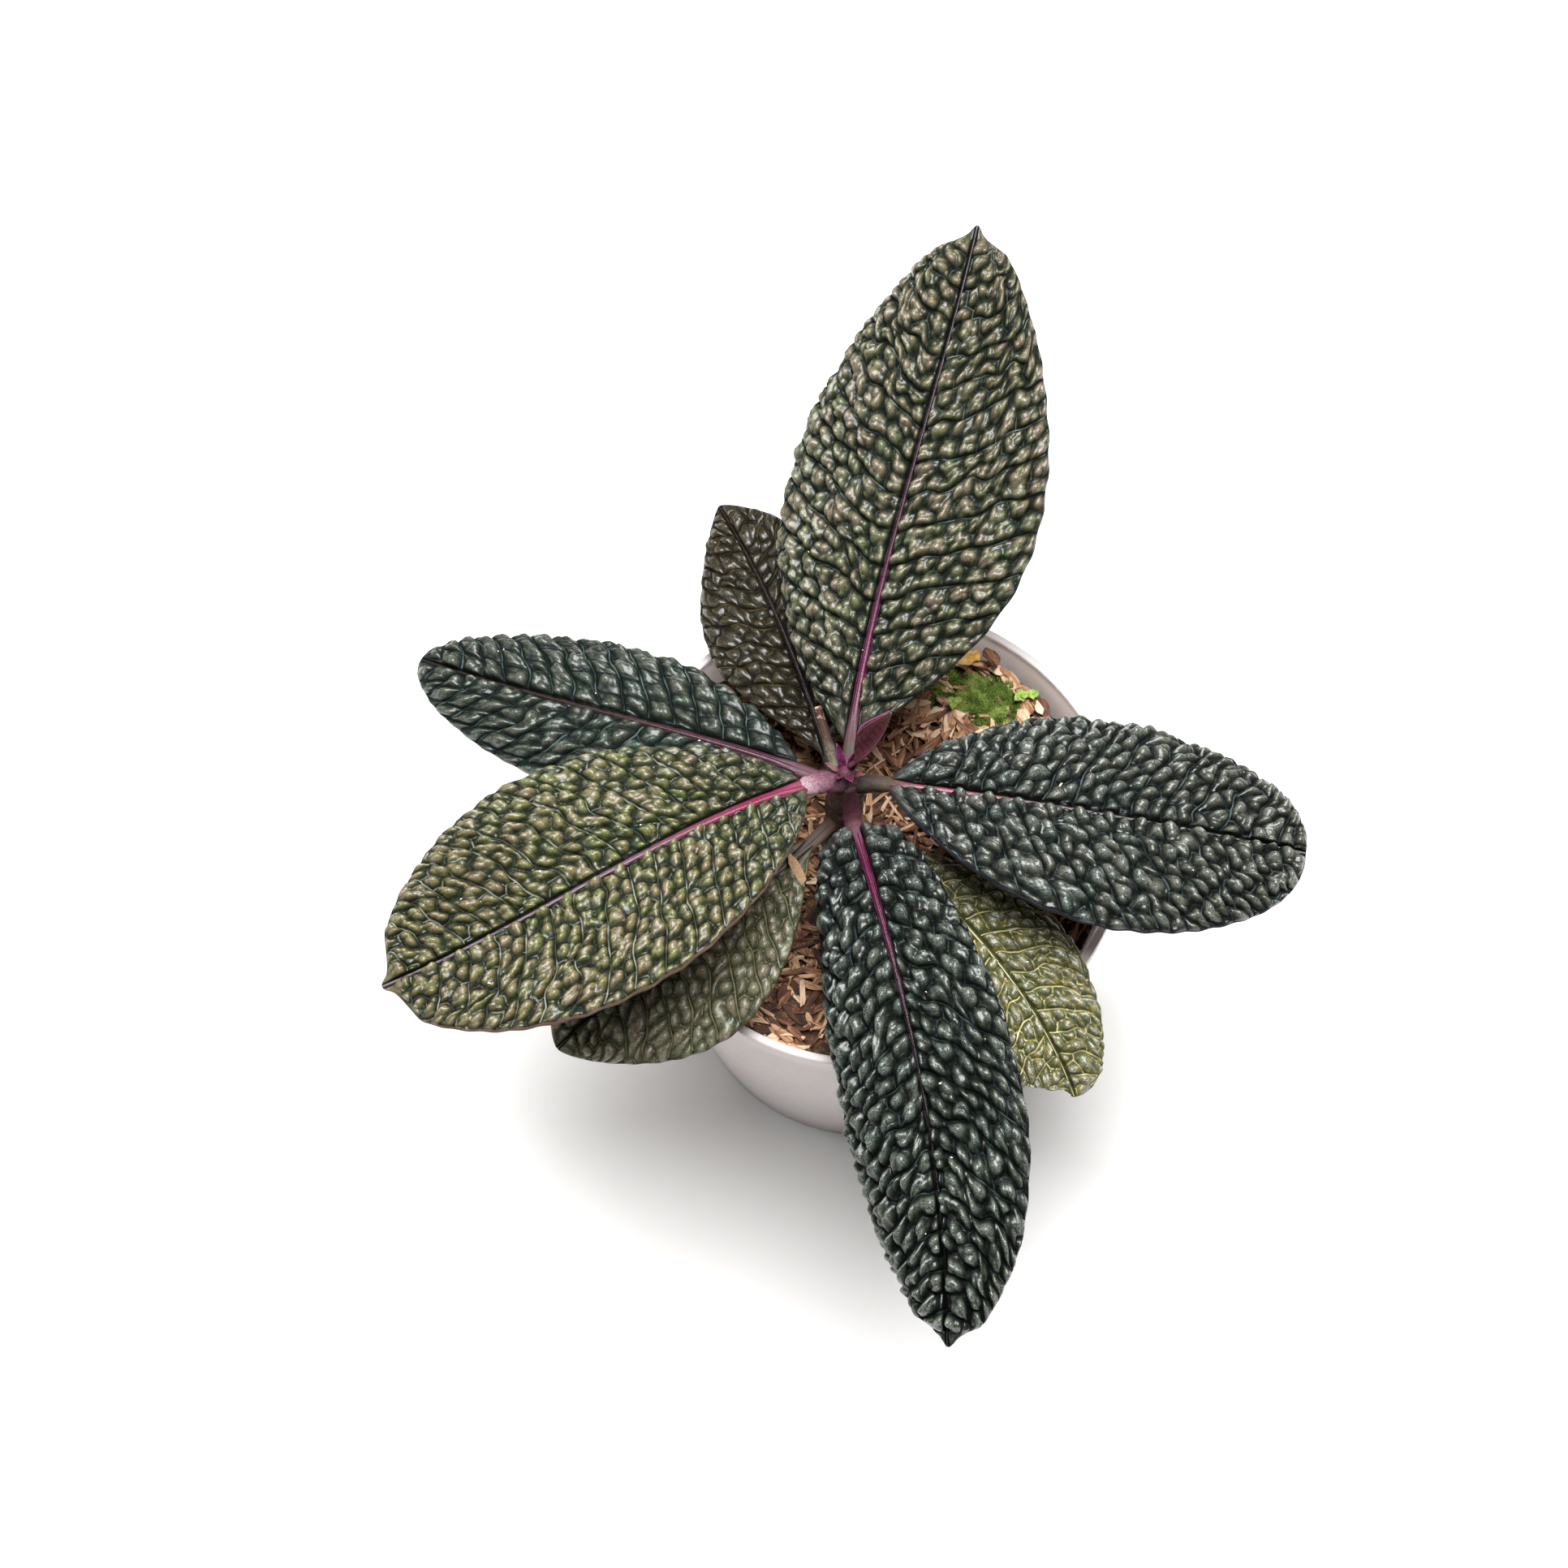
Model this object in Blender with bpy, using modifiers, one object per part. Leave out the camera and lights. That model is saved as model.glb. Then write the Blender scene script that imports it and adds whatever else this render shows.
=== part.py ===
# Potted labisia: eight puckered leaves and one unfolding leaf on a short stem,
# standing in bark substrate in a thin tapered plastic pot.
# Metres, +Z up. The origin is the middle of the pot's flat base.

import math
import random

import bmesh
import bpy
import numpy as np
from mathutils import Matrix, Vector, noise

MM = 0.001
GAP = 0.3 * MM                      # clearance between pieces that touch

# Pot
POT_HEIGHT = 102 * MM
POT_RIM_RADIUS = 60 * MM
POT_BASE_RADIUS = 44 * MM
POT_WALL = 1.2 * MM
POT_FLOOR = 1.6 * MM
LIP_HEIGHT = 4.5 * MM
LIP_STEP = 0.9 * MM                 # how far the lip stands out from the wall
LIP_ROUND = 0.5 * MM
BASE_CHAMFER = 1.2 * MM
POT_SIDES = 40
DRAIN_HOLES = 8
DRAIN_HOLE_RADIUS = 2.0 * MM
DRAIN_HOLE_SIDES = 10
DRAIN_CIRCLE_RADIUS = 33 * MM

# Substrate
SUBSTRATE_TOP = 92.5 * MM
SUBSTRATE_RINGS = 8
SUBSTRATE_LUMP = 1.3 * MM
LUMP_SPACING = 9 * MM
MOSS_CENTRE = (23 * MM, 36 * MM)
MOSS_RADIUS = 12 * MM
MOSS_HEIGHT = 5 * MM
CHIP_COUNT = 54
CHIP_LENGTH = (6 * MM, 13 * MM)
CHIP_WIDTH = (2.2 * MM, 3.6 * MM)
CHIP_THICKNESS = 2.4 * MM
CHIP_TAPER = (0.45, 0.8)            # thin end, part of the thick one
CHIP_PROUD = 0.2                    # how far its middle lies above the ground, part of its thickness
CHIP_TILT = 16                      # degrees, largest lean out of the surface
CHIP_JITTER = 0.2                   # radians
SPIRAL_TURN = 137.5                 # degrees from each chip to the next
CHIP_SEED = 11

# Stem
STEM_AXIS = (-6.5 * MM, 0.5 * MM)
STEM_FOOT = 62 * MM
STEM_TOP = 130.6 * MM
STEM_RADIUS = 4.05 * MM
NODE_RADIUS = 4.45 * MM             # at the rings that the leaves grow from
NODE_SPACING = 1.5 * MM             # rings closer than this are one
STEM_CROWN = 1.2 * MM               # height of the rounded top
OLD_SCARS = (96 * MM, 100 * MM, 105 * MM)
STEM_SIDES = 16
STEM_HOLE_RADIUS = 4.5 * MM

# Leaves
BLADE_THICKNESS = 0.9 * MM
MIDRIB_THICKNESS = 1.5 * MM         # at the blade's base, thinning to the tip
MIDRIB_HALF_WIDTH = 1.5 * MM        # at the blade's base, narrowing to the tip
MIDRIB_TAPER = 0.6                  # part of its width and height that it loses by the tip
MIDRIB_RISE = 0.7 * MM              # how far it stands out of the blade's upper face
PETIOLE_THICKNESS = 2.4 * MM
PETIOLE_HALF_WIDTH = 1.7 * MM
PETIOLE_ROWS = (-1.0, -0.45)        # 0 is the blade's base and -1 the petiole's root
NARROW_RIB = 0.4                    # the rib's largest share of a narrow leaf's half width
TIP_FADE = 2.5                      # the net is full height where the blade is over 1 / 2.5 as wide
PETIOLE_FADE = 0.17                 # part of the blade over which the petiole thins out
ROOT_RADIUS = NODE_RADIUS + 0.4 * MM
SPINE_STEPS = 160
VEIN_LEAD = 0.15                    # how far a side vein runs forward, part of the blade
MARGIN_SCALLOP = 0.018              # part of the half width
MARGIN_WAVE = 0.7 * MM
WAVE_TURN = 2.1                     # radians from one side vein to the next
PILLOW_MEAN = 0.68                  # the net's pillows, part of a leaf's puff
PILLOW_SWING = 0.32
MARGIN_PILLOW = 0.45
PILLOW_UNEVEN = 0.15
CREASE_ANGLE = 12                   # degrees, edges sharper than this show as creases

# Each leaf is drawn along its midrib from the stem outwards. Angles are in degrees.
# yaw and pitch: the midrib's direction at the stem, half way and at the tip.
# roll: of the blade about its midrib at the stem and at the tip, right side up.
# fold: how steeply both halves rise from the midrib. droop: how far the left
# and the right margin turn down again. height: of the petiole's root.
# veins: side veins in each half. cells: columns of the net in each half.
# base_shape and tip_shape: under 1 rounds that end, over 1 draws it out.
LEAVES = {
    "leaf_top": dict(
        yaw=(83, 73, 77), pitch=(16, 25, 15), roll=(14, 3), height=124 * MM,
        length=129 * MM, petiole=5 * MM, half_width=32.5 * MM, widest=0.46,
        base_shape=1.0, tip_shape=0.66, fold=9, droop=(38, 18),
        veins=15, cells=7, puff=2.1 * MM, colour="4a4f33"),
    "leaf_right": dict(
        yaw=(-7, -6, -11), pitch=(0, -9, -5), roll=(16, 3), height=126 * MM,
        length=103 * MM, petiole=5 * MM, half_width=30.5 * MM, widest=0.51,
        base_shape=0.68, tip_shape=0.42, fold=12, droop=(31, 10),
        veins=14, cells=7, puff=2.1 * MM, colour="1e2a24"),
    "leaf_front": dict(
        yaw=(-77, -79, -90), pitch=(18, -9, -33), roll=(1, -24), height=118 * MM,
        length=126 * MM, petiole=5 * MM, half_width=22 * MM, widest=0.56,
        base_shape=0.25, tip_shape=0.6, fold=12, droop=(29, 60),
        veins=14, cells=6, puff=2.2 * MM, colour="18261f"),
    "leaf_left": dict(
        yaw=(203, 213, 203), pitch=(18, 6, -3), roll=(-10, 0), height=129.3 * MM,
        length=111 * MM, petiole=6 * MM, half_width=31 * MM, widest=0.53,
        base_shape=0.57, tip_shape=0.54, fold=16, droop=(0, 13),
        veins=16, cells=7, puff=1.8 * MM, colour="5d6230"),
    "leaf_back_left": dict(
        yaw=(157, 161, 151), pitch=(0, -6, -17), roll=(-8, 5), height=122 * MM,
        length=105 * MM, petiole=7 * MM, half_width=21 * MM, widest=0.46,
        base_shape=0.84, tip_shape=0.51, fold=12, droop=(27, 34),
        veins=16, cells=5, puff=1.9 * MM, colour="232f24"),
    "old_leaf_back": dict(
        yaw=(106, 110, 115), pitch=(10, -3, -13), roll=(4, 20), height=112 * MM,
        length=84 * MM, petiole=8 * MM, half_width=19 * MM, widest=0.51,
        base_shape=0.98, tip_shape=0.8, fold=13, droop=(25, 10),
        veins=11, cells=4, puff=0.9 * MM, colour="3d3020"),
    "old_leaf_front_left": dict(
        yaw=(231, 218, 220), pitch=(11, -4, -19), roll=(-1, 4), height=110 * MM,
        length=83 * MM, petiole=8 * MM, half_width=24 * MM, widest=0.55,
        base_shape=0.9, tip_shape=0.71, fold=14, droop=(14, 13),
        veins=12, cells=5, puff=0.9 * MM, colour="35352a"),
    "old_leaf_front_right": dict(
        yaw=(-48, -51, -70), pitch=(6, -4, -21), roll=(3, 6), height=111 * MM,
        length=82 * MM, petiole=8 * MM, half_width=20 * MM, widest=0.56,
        base_shape=1.0, tip_shape=0.34, fold=12, droop=(24, 16),
        veins=11, cells=4, puff=0.8 * MM, colour="6b6a2e"),
}

# The unfolding leaf stands on the top of the stem, its halves still folded shut,
# rolled so that its slit looks up and to the back left.
YOUNG_LEAF = dict(
    yaw=(18, 45, 72), pitch=(40, 42, 46), roll=(62, 62), height=131.9 * MM,
    length=17 * MM, petiole=2 * MM, half_width=4.8 * MM, widest=0.5,
    base_shape=0.7, tip_shape=0.9, fold=76, droop=(-86, -86),
    veins=6, cells=2, puff=0.1 * MM, colour="7a2f5a")
YOUNG_ROOT_RADIUS = 1.0 * MM
YOUNG_PETIOLE_THICKNESS = 1.1 * MM
YOUNG_PETIOLE_HALF_WIDTH = 1.0 * MM

# Stub of a fallen leaf's petiole, from the stem outwards
STUB_YAW = 107
STUB_RISE = 17
STUB_BEND = 0.4                     # part of its rise that it lacks where it leaves the stem
STUB_HEIGHT = 117.5 * MM
STUB_LENGTH = 18 * MM
STUB_RADII = (1.4 * MM, 0.8 * MM)
STUB_POINTS = 6
STUB_ROUNDNESS = 2


def clear_scene():
    for item in list(bpy.data.objects):
        bpy.data.objects.remove(item)


def new_collection(name):
    collection = bpy.data.collections.new(name)
    bpy.context.scene.collection.children.link(collection)
    return collection


def linear(hex_colour):
    """Linear RGBA of an sRGB hex colour."""
    channels = [int(hex_colour[i:i + 2], 16) / 255 for i in (0, 2, 4)]
    curved = [c / 12.92 if c <= 0.04045 else ((c + 0.055) / 1.055) ** 2.4 for c in channels]
    return (*curved, 1.0)


def principled(name, hex_colour, roughness, transmission=0.0):
    material = bpy.data.materials.new(name)
    material.use_nodes = True
    shader = material.node_tree.nodes["Principled BSDF"]
    shader.inputs["Base Color"].default_value = linear(hex_colour)
    shader.inputs["Roughness"].default_value = roughness
    shader.inputs["Metallic"].default_value = 0.0
    shader.inputs["Transmission Weight"].default_value = transmission
    return material


def add_object(name, mesh, collection, material=None):
    item = bpy.data.objects.new(name, mesh)
    collection.objects.link(item)
    if material:
        mesh.materials.append(material)
    return item


def evaluated_mesh(item):
    depsgraph = bpy.context.evaluated_depsgraph_get()
    return bpy.data.meshes.new_from_object(item.evaluated_get(depsgraph))


def smooth(item, angle=math.radians(35)):
    item.data.shade_smooth()
    item.data.set_sharp_from_angle(angle=angle)


# Turned pieces

def turned(name, profile, sides, collection, material=None):
    """A profile of (radius, height) points, run down its outer side, turned about Z."""
    mesh = bpy.data.meshes.new(name)
    points = [(radius, 0, height) for radius, height in profile]
    mesh.from_pydata(points, [(i, i + 1) for i in range(len(points) - 1)], [])
    item = add_object(name, mesh, collection, material)
    screw = item.modifiers.new("Turn", 'SCREW')
    screw.steps = screw.render_steps = sides
    screw.use_merge_vertices = True
    screw.merge_threshold = 0.00001
    screw.use_normal_calculate = False
    return item


def wall_radius(height):
    """The pot's outer wall, without its lip."""
    top = POT_RIM_RADIUS - LIP_STEP
    return POT_BASE_RADIUS + (top - POT_BASE_RADIUS) * height / POT_HEIGHT


def make_pot(parts, cutters):
    inner_top = wall_radius(POT_HEIGHT) - POT_WALL
    lip_foot = POT_HEIGHT - LIP_HEIGHT
    profile = [
        (0, POT_FLOOR),
        (DRAIN_CIRCLE_RADIUS, POT_FLOOR),
        (wall_radius(POT_FLOOR) - POT_WALL, POT_FLOOR),
        (wall_radius(lip_foot) - POT_WALL, lip_foot),
        (inner_top, POT_HEIGHT - LIP_ROUND),
        (inner_top + LIP_ROUND, POT_HEIGHT),
        (POT_RIM_RADIUS - LIP_ROUND, POT_HEIGHT),
        (POT_RIM_RADIUS, POT_HEIGHT - LIP_ROUND),
        (POT_RIM_RADIUS, lip_foot + LIP_ROUND),
        (wall_radius(lip_foot), lip_foot),
        (wall_radius(BASE_CHAMFER), BASE_CHAMFER),
        (POT_BASE_RADIUS - BASE_CHAMFER, 0),
        (0, 0),
    ]
    plastic = principled("milky_plastic", "c9bdbb", 0.35, transmission=0.4)
    pot = turned("pot", profile, POT_SIDES, parts, plastic)
    for k in range(DRAIN_HOLES):
        angle = 2 * math.pi * (k + 0.5) / DRAIN_HOLES
        centre = (DRAIN_CIRCLE_RADIUS * math.cos(angle), DRAIN_CIRCLE_RADIUS * math.sin(angle), 0)
        bpy.ops.mesh.primitive_cylinder_add(
            vertices=DRAIN_HOLE_SIDES, radius=DRAIN_HOLE_RADIUS, depth=4 * POT_FLOOR, location=centre)
        hole = bpy.context.object
        hole.name = f"drain_hole_{k}"
        as_cutter(hole, cutters)
        cut = pot.modifiers.new(f"Drain {k}", 'BOOLEAN')
        cut.operation = 'DIFFERENCE'
        cut.object = hole
    smooth(pot)
    return pot


def as_cutter(item, cutters):
    for collection in list(item.users_collection):
        collection.objects.unlink(item)
    cutters.objects.link(item)
    item.hide_render = True
    item.display_type = 'WIRE'


# Substrate with its chips, one body

def ground_height(x, y):
    """The substrate's surface: low lumps everywhere and the mound that the moss covers."""
    lump = SUBSTRATE_LUMP * noise.noise(Vector((x, y, 0)) / LUMP_SPACING)
    from_moss = math.hypot(x - MOSS_CENTRE[0], y - MOSS_CENTRE[1]) / MOSS_RADIUS
    return SUBSTRATE_TOP + lump + MOSS_HEIGHT * math.exp(-from_moss ** 2)


def make_ground(collection, material):
    """The filling of the pot, its top lifted to the lumpy ground."""
    edge = wall_radius(SUBSTRATE_TOP) - POT_WALL - GAP
    foot = wall_radius(POT_FLOOR) - POT_WALL - GAP
    top = [(edge * k / SUBSTRATE_RINGS, SUBSTRATE_TOP) for k in range(SUBSTRATE_RINGS + 1)]
    plug = turned("plug", top + [(foot, POT_FLOOR + GAP), (0, POT_FLOOR + GAP)], POT_SIDES, collection)
    mesh = evaluated_mesh(plug)
    bpy.data.objects.remove(plug)
    for vertex in mesh.vertices:
        away = math.hypot(vertex.co.x, vertex.co.y)
        if vertex.co.z > SUBSTRATE_TOP - MM and away < edge - MM:
            vertex.co.z = ground_height(vertex.co.x, vertex.co.y)
    return add_object("substrate", mesh, collection, material)


def chip_mesh(rng):
    """A splinter of bark: a box, narrower and thinner at one end."""
    shape = bmesh.new()
    bmesh.ops.create_cube(shape, size=1)
    size = Vector((rng.uniform(*CHIP_LENGTH), rng.uniform(*CHIP_WIDTH), CHIP_THICKNESS))
    taper = rng.uniform(*CHIP_TAPER)
    for vertex in shape.verts:
        narrow = taper if vertex.co.x > 0 else 1
        vertex.co = Vector((vertex.co.x, vertex.co.y * narrow, vertex.co.z * narrow)) * size
    mesh = bpy.data.meshes.new("chip")
    shape.to_mesh(mesh)
    shape.free()
    return mesh


def scatter_chips(chips):
    """Chips lie on a sunflower spiral, jittered, clear of the wall and the stem."""
    rng = random.Random(CHIP_SEED)
    reach = wall_radius(SUBSTRATE_TOP) - POT_WALL - 0.5 * CHIP_LENGTH[1] - MM
    nearest = STEM_HOLE_RADIUS + 0.5 * CHIP_LENGTH[1]
    for k in range(CHIP_COUNT):
        radius = reach * math.sqrt((k + 0.5) / CHIP_COUNT)
        angle = k * math.radians(SPIRAL_TURN) + rng.uniform(-CHIP_JITTER, CHIP_JITTER)
        x, y = radius * math.cos(angle), radius * math.sin(angle)
        turn = rng.uniform(0, math.tau)
        lean = math.radians(rng.uniform(-CHIP_TILT, CHIP_TILT))
        mesh = chip_mesh(rng)
        if math.hypot(x - STEM_AXIS[0], y - STEM_AXIS[1]) < nearest:
            continue
        chip = add_object(f"chip_{k}", mesh, chips)
        place = Matrix.Translation((x, y, ground_height(x, y) + CHIP_PROUD * CHIP_THICKNESS))
        chip.matrix_world = place @ Matrix.Rotation(turn, 4, 'Z') @ Matrix.Rotation(lean, 4, 'Y')


def apply_boolean(item, operation, collection=None, cutter=None):
    boolean = item.modifiers.new("Join", 'BOOLEAN')
    boolean.operation = operation
    boolean.solver = 'EXACT'
    if collection:
        boolean.operand_type = 'COLLECTION'
        boolean.collection = collection
    else:
        boolean.object = cutter
    mesh = evaluated_mesh(item)
    item.modifiers.clear()
    item.data = mesh


def make_substrate(parts, cutters):
    bark = principled("bark_substrate", "8a6245", 0.9)
    ground = make_ground(parts, bark)
    chips = new_collection("Chips")
    scatter_chips(chips)
    apply_boolean(ground, 'UNION', collection=chips)
    for chip in list(chips.objects):
        bpy.data.objects.remove(chip)
    bpy.data.collections.remove(chips)
    foot = STEM_FOOT - GAP
    top = POT_HEIGHT + 10 * MM
    bpy.ops.mesh.primitive_cylinder_add(
        vertices=STEM_SIDES, radius=STEM_HOLE_RADIUS, depth=top - foot,
        location=(*STEM_AXIS, (top + foot) / 2))
    hole = bpy.context.object
    hole.name = "stem_hole"
    as_cutter(hole, cutters)
    apply_boolean(ground, 'DIFFERENCE', cutter=hole)
    smooth(ground, math.radians(CREASE_ANGLE))
    return ground


# Stem

def make_stem(parts):
    """A short stem, swollen at each leaf's ring and at the scars of fallen leaves."""
    rings = sorted([spec["height"] - PETIOLE_THICKNESS / 2 for spec in LEAVES.values()] + list(OLD_SCARS))
    rings = [z for k, z in enumerate(rings) if k == 0 or z - rings[k - 1] > NODE_SPACING]
    shoulder = STEM_TOP - STEM_CROWN
    profile = [(0, STEM_TOP), (STEM_RADIUS / 2, STEM_TOP - STEM_CROWN / 5), (NODE_RADIUS, shoulder)]
    for upper, lower in zip(rings[:0:-1], rings[-2::-1]):
        profile.append((NODE_RADIUS, upper))
        profile.append((STEM_RADIUS, (upper + lower) / 2))
    profile += [(NODE_RADIUS, rings[0]), (STEM_RADIUS, rings[0] - 2 * NODE_SPACING)]
    profile += [(STEM_RADIUS, STEM_FOOT), (0, STEM_FOOT)]
    stem = turned("stem", profile, STEM_SIDES, parts, principled("stem_bark", "4a3a30", 0.75))
    stem.location = (*STEM_AXIS, 0)
    smooth(stem)
    return stem


# Leaves

def through(values, t):
    """A parabola through three values at t = 0, 1/2 and 1."""
    start, middle, end = values
    return start * (2 * t - 1) * (t - 1) + middle * 4 * t * (1 - t) + end * t * (2 * t - 1)


def midrib_line(spec, root_radius):
    """Points along the midrib, with the directions along, to the right and up there."""
    t = np.linspace(0, 1, SPINE_STEPS + 1)
    yaw = np.radians(through(spec["yaw"], t))
    pitch = np.radians(through(spec["pitch"], t))
    roll = np.radians(spec["roll"][0] + (spec["roll"][1] - spec["roll"][0]) * t)
    along = np.stack([np.cos(pitch) * np.cos(yaw), np.cos(pitch) * np.sin(yaw), np.sin(pitch)], 1)
    flat_right = np.stack([np.sin(yaw), -np.cos(yaw), 0 * yaw], 1)
    flat_up = np.cross(flat_right, along)
    right = flat_right * np.cos(roll)[:, None] + flat_up * np.sin(roll)[:, None]
    up = flat_up * np.cos(roll)[:, None] - flat_right * np.sin(roll)[:, None]
    steps = (along[1:] + along[:-1]) / 2 * spec["length"] / SPINE_STEPS
    root = np.array([STEM_AXIS[0] + root_radius * math.cos(yaw[0]),
                     STEM_AXIS[1] + root_radius * math.sin(yaw[0]), spec["height"]])
    points = np.vstack([root, root + np.cumsum(steps, 0)])
    return t * spec["length"], points, right, up


def blade_half_width(spec, place):
    """Half width at a place along the blade, 0 at its base and 1 at its tip."""
    place = min(max(place, 0), 1)
    shape = spec["base_shape"] + (spec["tip_shape"] - spec["base_shape"]) * place
    bow = math.sin(math.pi * place ** (math.log(0.5) / math.log(spec["widest"])))
    return spec["half_width"] * max(bow, 0) ** shape


def across_the_fold(spec, side, width):
    """How far right and up a point lies whose distance from the midrib is side * width."""
    fold = math.radians(spec["fold"])
    turn = fold + math.radians(spec["droop"][1 if side > 0 else 0])
    out = abs(side)
    if abs(turn) < 1e-4:
        return side * width * math.cos(fold), out * width * math.sin(fold)
    right = width * (math.sin(fold) - math.sin(fold - turn * out)) / turn
    lift = width * (math.cos(fold - turn * out) - math.cos(fold)) / turn
    return math.copysign(right, side), lift


def leaf_rows(spec):
    """Places of the grid's rows: one on each side vein and one between each two."""
    count = 2 * spec["veins"]
    return list(PETIOLE_ROWS) + [k / count for k in range(count + 1)]


def column_distance(spec, column, width, place):
    """Distance from the midrib: its crest, its edge, then evenly out to the margin."""
    if column == 0:
        return 0
    rib = min(MIDRIB_HALF_WIDTH * (1 - MIDRIB_TAPER * max(place, 0)), NARROW_RIB * width)
    return rib + (width - rib) * (column - 1) / (spec["cells"] - 1)


def raised(spec, row, column, out, fullness, jitter):
    """Height of the net at a grid point: the midrib, the pillows and the margin's wave."""
    if column == 0:
        return MIDRIB_RISE * (1 - MIDRIB_TAPER * row) * fullness
    phase = row * spec["veins"]
    pillow = PILLOW_MEAN + PILLOW_SWING * math.cos(math.pi * (column + math.floor(phase)))
    if column == 1:
        pillow = 0
    if column == spec["cells"]:
        pillow *= MARGIN_PILLOW
    net = spec["puff"] * pillow * abs(math.sin(math.pi * phase)) * jitter
    return fullness * (net + MARGIN_WAVE * math.sin(WAVE_TURN * phase) * out ** 2)


def stoutness(place, distance, petiole_thickness):
    """Thickness of the leaf: stout in the petiole and the midrib, thin in the blade."""
    place = max(place, 0)
    petiole = max(0, 1 - place / PETIOLE_FADE)
    rib = MIDRIB_THICKNESS + (petiole_thickness - MIDRIB_THICKNESS) * petiole
    rib = max(BLADE_THICKNESS, rib * (1 - 0.5 * MIDRIB_TAPER * place))
    return BLADE_THICKNESS + (rib - BLADE_THICKNESS) * math.exp(-(distance / MIDRIB_HALF_WIDTH) ** 2)


def leaf_outline(spec, row, out, petiole_half_width):
    """Where a row crosses the leaf at a share of its width: place along the blade, width."""
    if row <= 0:
        return row, petiole_half_width
    place = row + VEIN_LEAD * 4 * row * (1 - row) * out ** 1.2
    width = math.hypot(blade_half_width(spec, place), petiole_half_width * (1 - place))
    return place, width * (1 - MARGIN_SCALLOP * (1 + math.cos(math.tau * row * spec["veins"])))


def make_leaf(name, spec, parts, root_radius=ROOT_RADIUS, petiole_thickness=PETIOLE_THICKNESS,
              petiole_half_width=PETIOLE_HALF_WIDTH):
    """The upper face is a grid laid over the folded blade, thickened downwards."""
    rng = random.Random(name)
    rows, cells = leaf_rows(spec), spec["cells"]
    along, points, right, up = midrib_line(spec, root_radius)
    bpy.ops.mesh.primitive_grid_add(x_subdivisions=2 * cells, y_subdivisions=len(rows) - 1, size=2)
    leaf = bpy.context.object
    leaf.name = leaf.data.name = name
    group = leaf.vertex_groups.new(name="stout")
    blade = spec["length"] - spec["petiole"]
    for vertex in leaf.data.vertices:
        row = rows[round((vertex.co.y + 1) / 2 * (len(rows) - 1))]
        column = round(abs(vertex.co.x) * cells)
        place, width = leaf_outline(spec, row, column / cells, petiole_half_width)
        from_midrib = column_distance(spec, column, width, place)
        side = math.copysign(from_midrib / width, vertex.co.x)
        distance = spec["petiole"] + place * (spec["petiole"] if row < 0 else blade)
        middle, to_right, to_up = [
            np.array([np.interp(distance, along, line[:, axis]) for axis in range(3)])
            for line in (points, right, up)]
        sideways, lift = across_the_fold(spec, side, width)
        if row > 0:
            fullness = min(1, TIP_FADE * width / spec["half_width"])
            jitter = rng.uniform(1 - PILLOW_UNEVEN, 1 + PILLOW_UNEVEN)
            lift += raised(spec, row, column, abs(side), fullness, jitter)
        vertex.co = Vector(middle + to_right * sideways + to_up * lift)
        thickness = stoutness(place, from_midrib, petiole_thickness)
        group.add([vertex.index], thickness / petiole_thickness, 'REPLACE')
    finish_leaf(leaf, len(rows), cells)
    thicken = leaf.modifiers.new("Thickness", 'SOLIDIFY')
    thicken.thickness = petiole_thickness
    thicken.offset = -1
    thicken.vertex_group = "stout"
    leaf.data.materials.append(principled(name + "_surface", spec["colour"], 0.4))
    smooth(leaf, math.radians(CREASE_ANGLE))
    move_to(leaf, parts)
    return leaf


def finish_leaf(leaf, row_count, cells):
    """The last row becomes the pointed tip, and the grid is split into triangles."""
    shape = bmesh.new()
    shape.from_mesh(leaf.data)
    shape.verts.ensure_lookup_table()
    columns = 2 * cells + 1
    tip_row = shape.verts[(row_count - 1) * columns:]
    tip = tip_row[cells].co.copy()
    bmesh.ops.pointmerge(shape, verts=tip_row, merge_co=tip)
    bmesh.ops.triangulate(shape, faces=shape.faces)
    shape.to_mesh(leaf.data)
    shape.free()


def move_to(item, collection):
    for other in list(item.users_collection):
        other.objects.unlink(item)
    collection.objects.link(item)


def make_stub(parts):
    """A dried petiole left on the stem, tapering to its broken end."""
    yaw, rise = math.radians(STUB_YAW), math.radians(STUB_RISE)
    outward = Vector((math.cos(yaw), math.sin(yaw), 0))
    start = Vector((*STEM_AXIS, STUB_HEIGHT)) + outward * (NODE_RADIUS + GAP)
    curve = bpy.data.curves.new("dry_petiole", 'CURVE')
    curve.dimensions = '3D'
    curve.bevel_depth = STUB_RADII[0]
    curve.bevel_resolution = STUB_ROUNDNESS
    curve.use_fill_caps = True
    spline = curve.splines.new('POLY')
    spline.points.add(STUB_POINTS - 1)
    for k, point in enumerate(spline.points):
        t = k / (STUB_POINTS - 1)
        climb = rise * (1 - STUB_BEND * (1 - t))
        spot = start + STUB_LENGTH * t * (outward * math.cos(climb) + Vector((0, 0, math.sin(climb))))
        point.co = (*spot, 1)
        point.radius = 1 + (STUB_RADII[1] / STUB_RADII[0] - 1) * t
    stub = add_object("dry_petiole", curve, parts, principled("dry_petiole_skin", "6a4a34", 0.8))
    return stub


def main():
    clear_scene()
    parts = new_collection("PottedLabisia")
    cutters = new_collection("Cutters")
    make_pot(parts, cutters)
    make_substrate(parts, cutters)
    make_stem(parts)
    for name, spec in LEAVES.items():
        make_leaf(name, spec, parts)
    make_leaf("young_leaf", YOUNG_LEAF, parts, YOUNG_ROOT_RADIUS, YOUNG_PETIOLE_THICKNESS,
              YOUNG_PETIOLE_HALF_WIDTH)
    make_stub(parts)


main()
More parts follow.
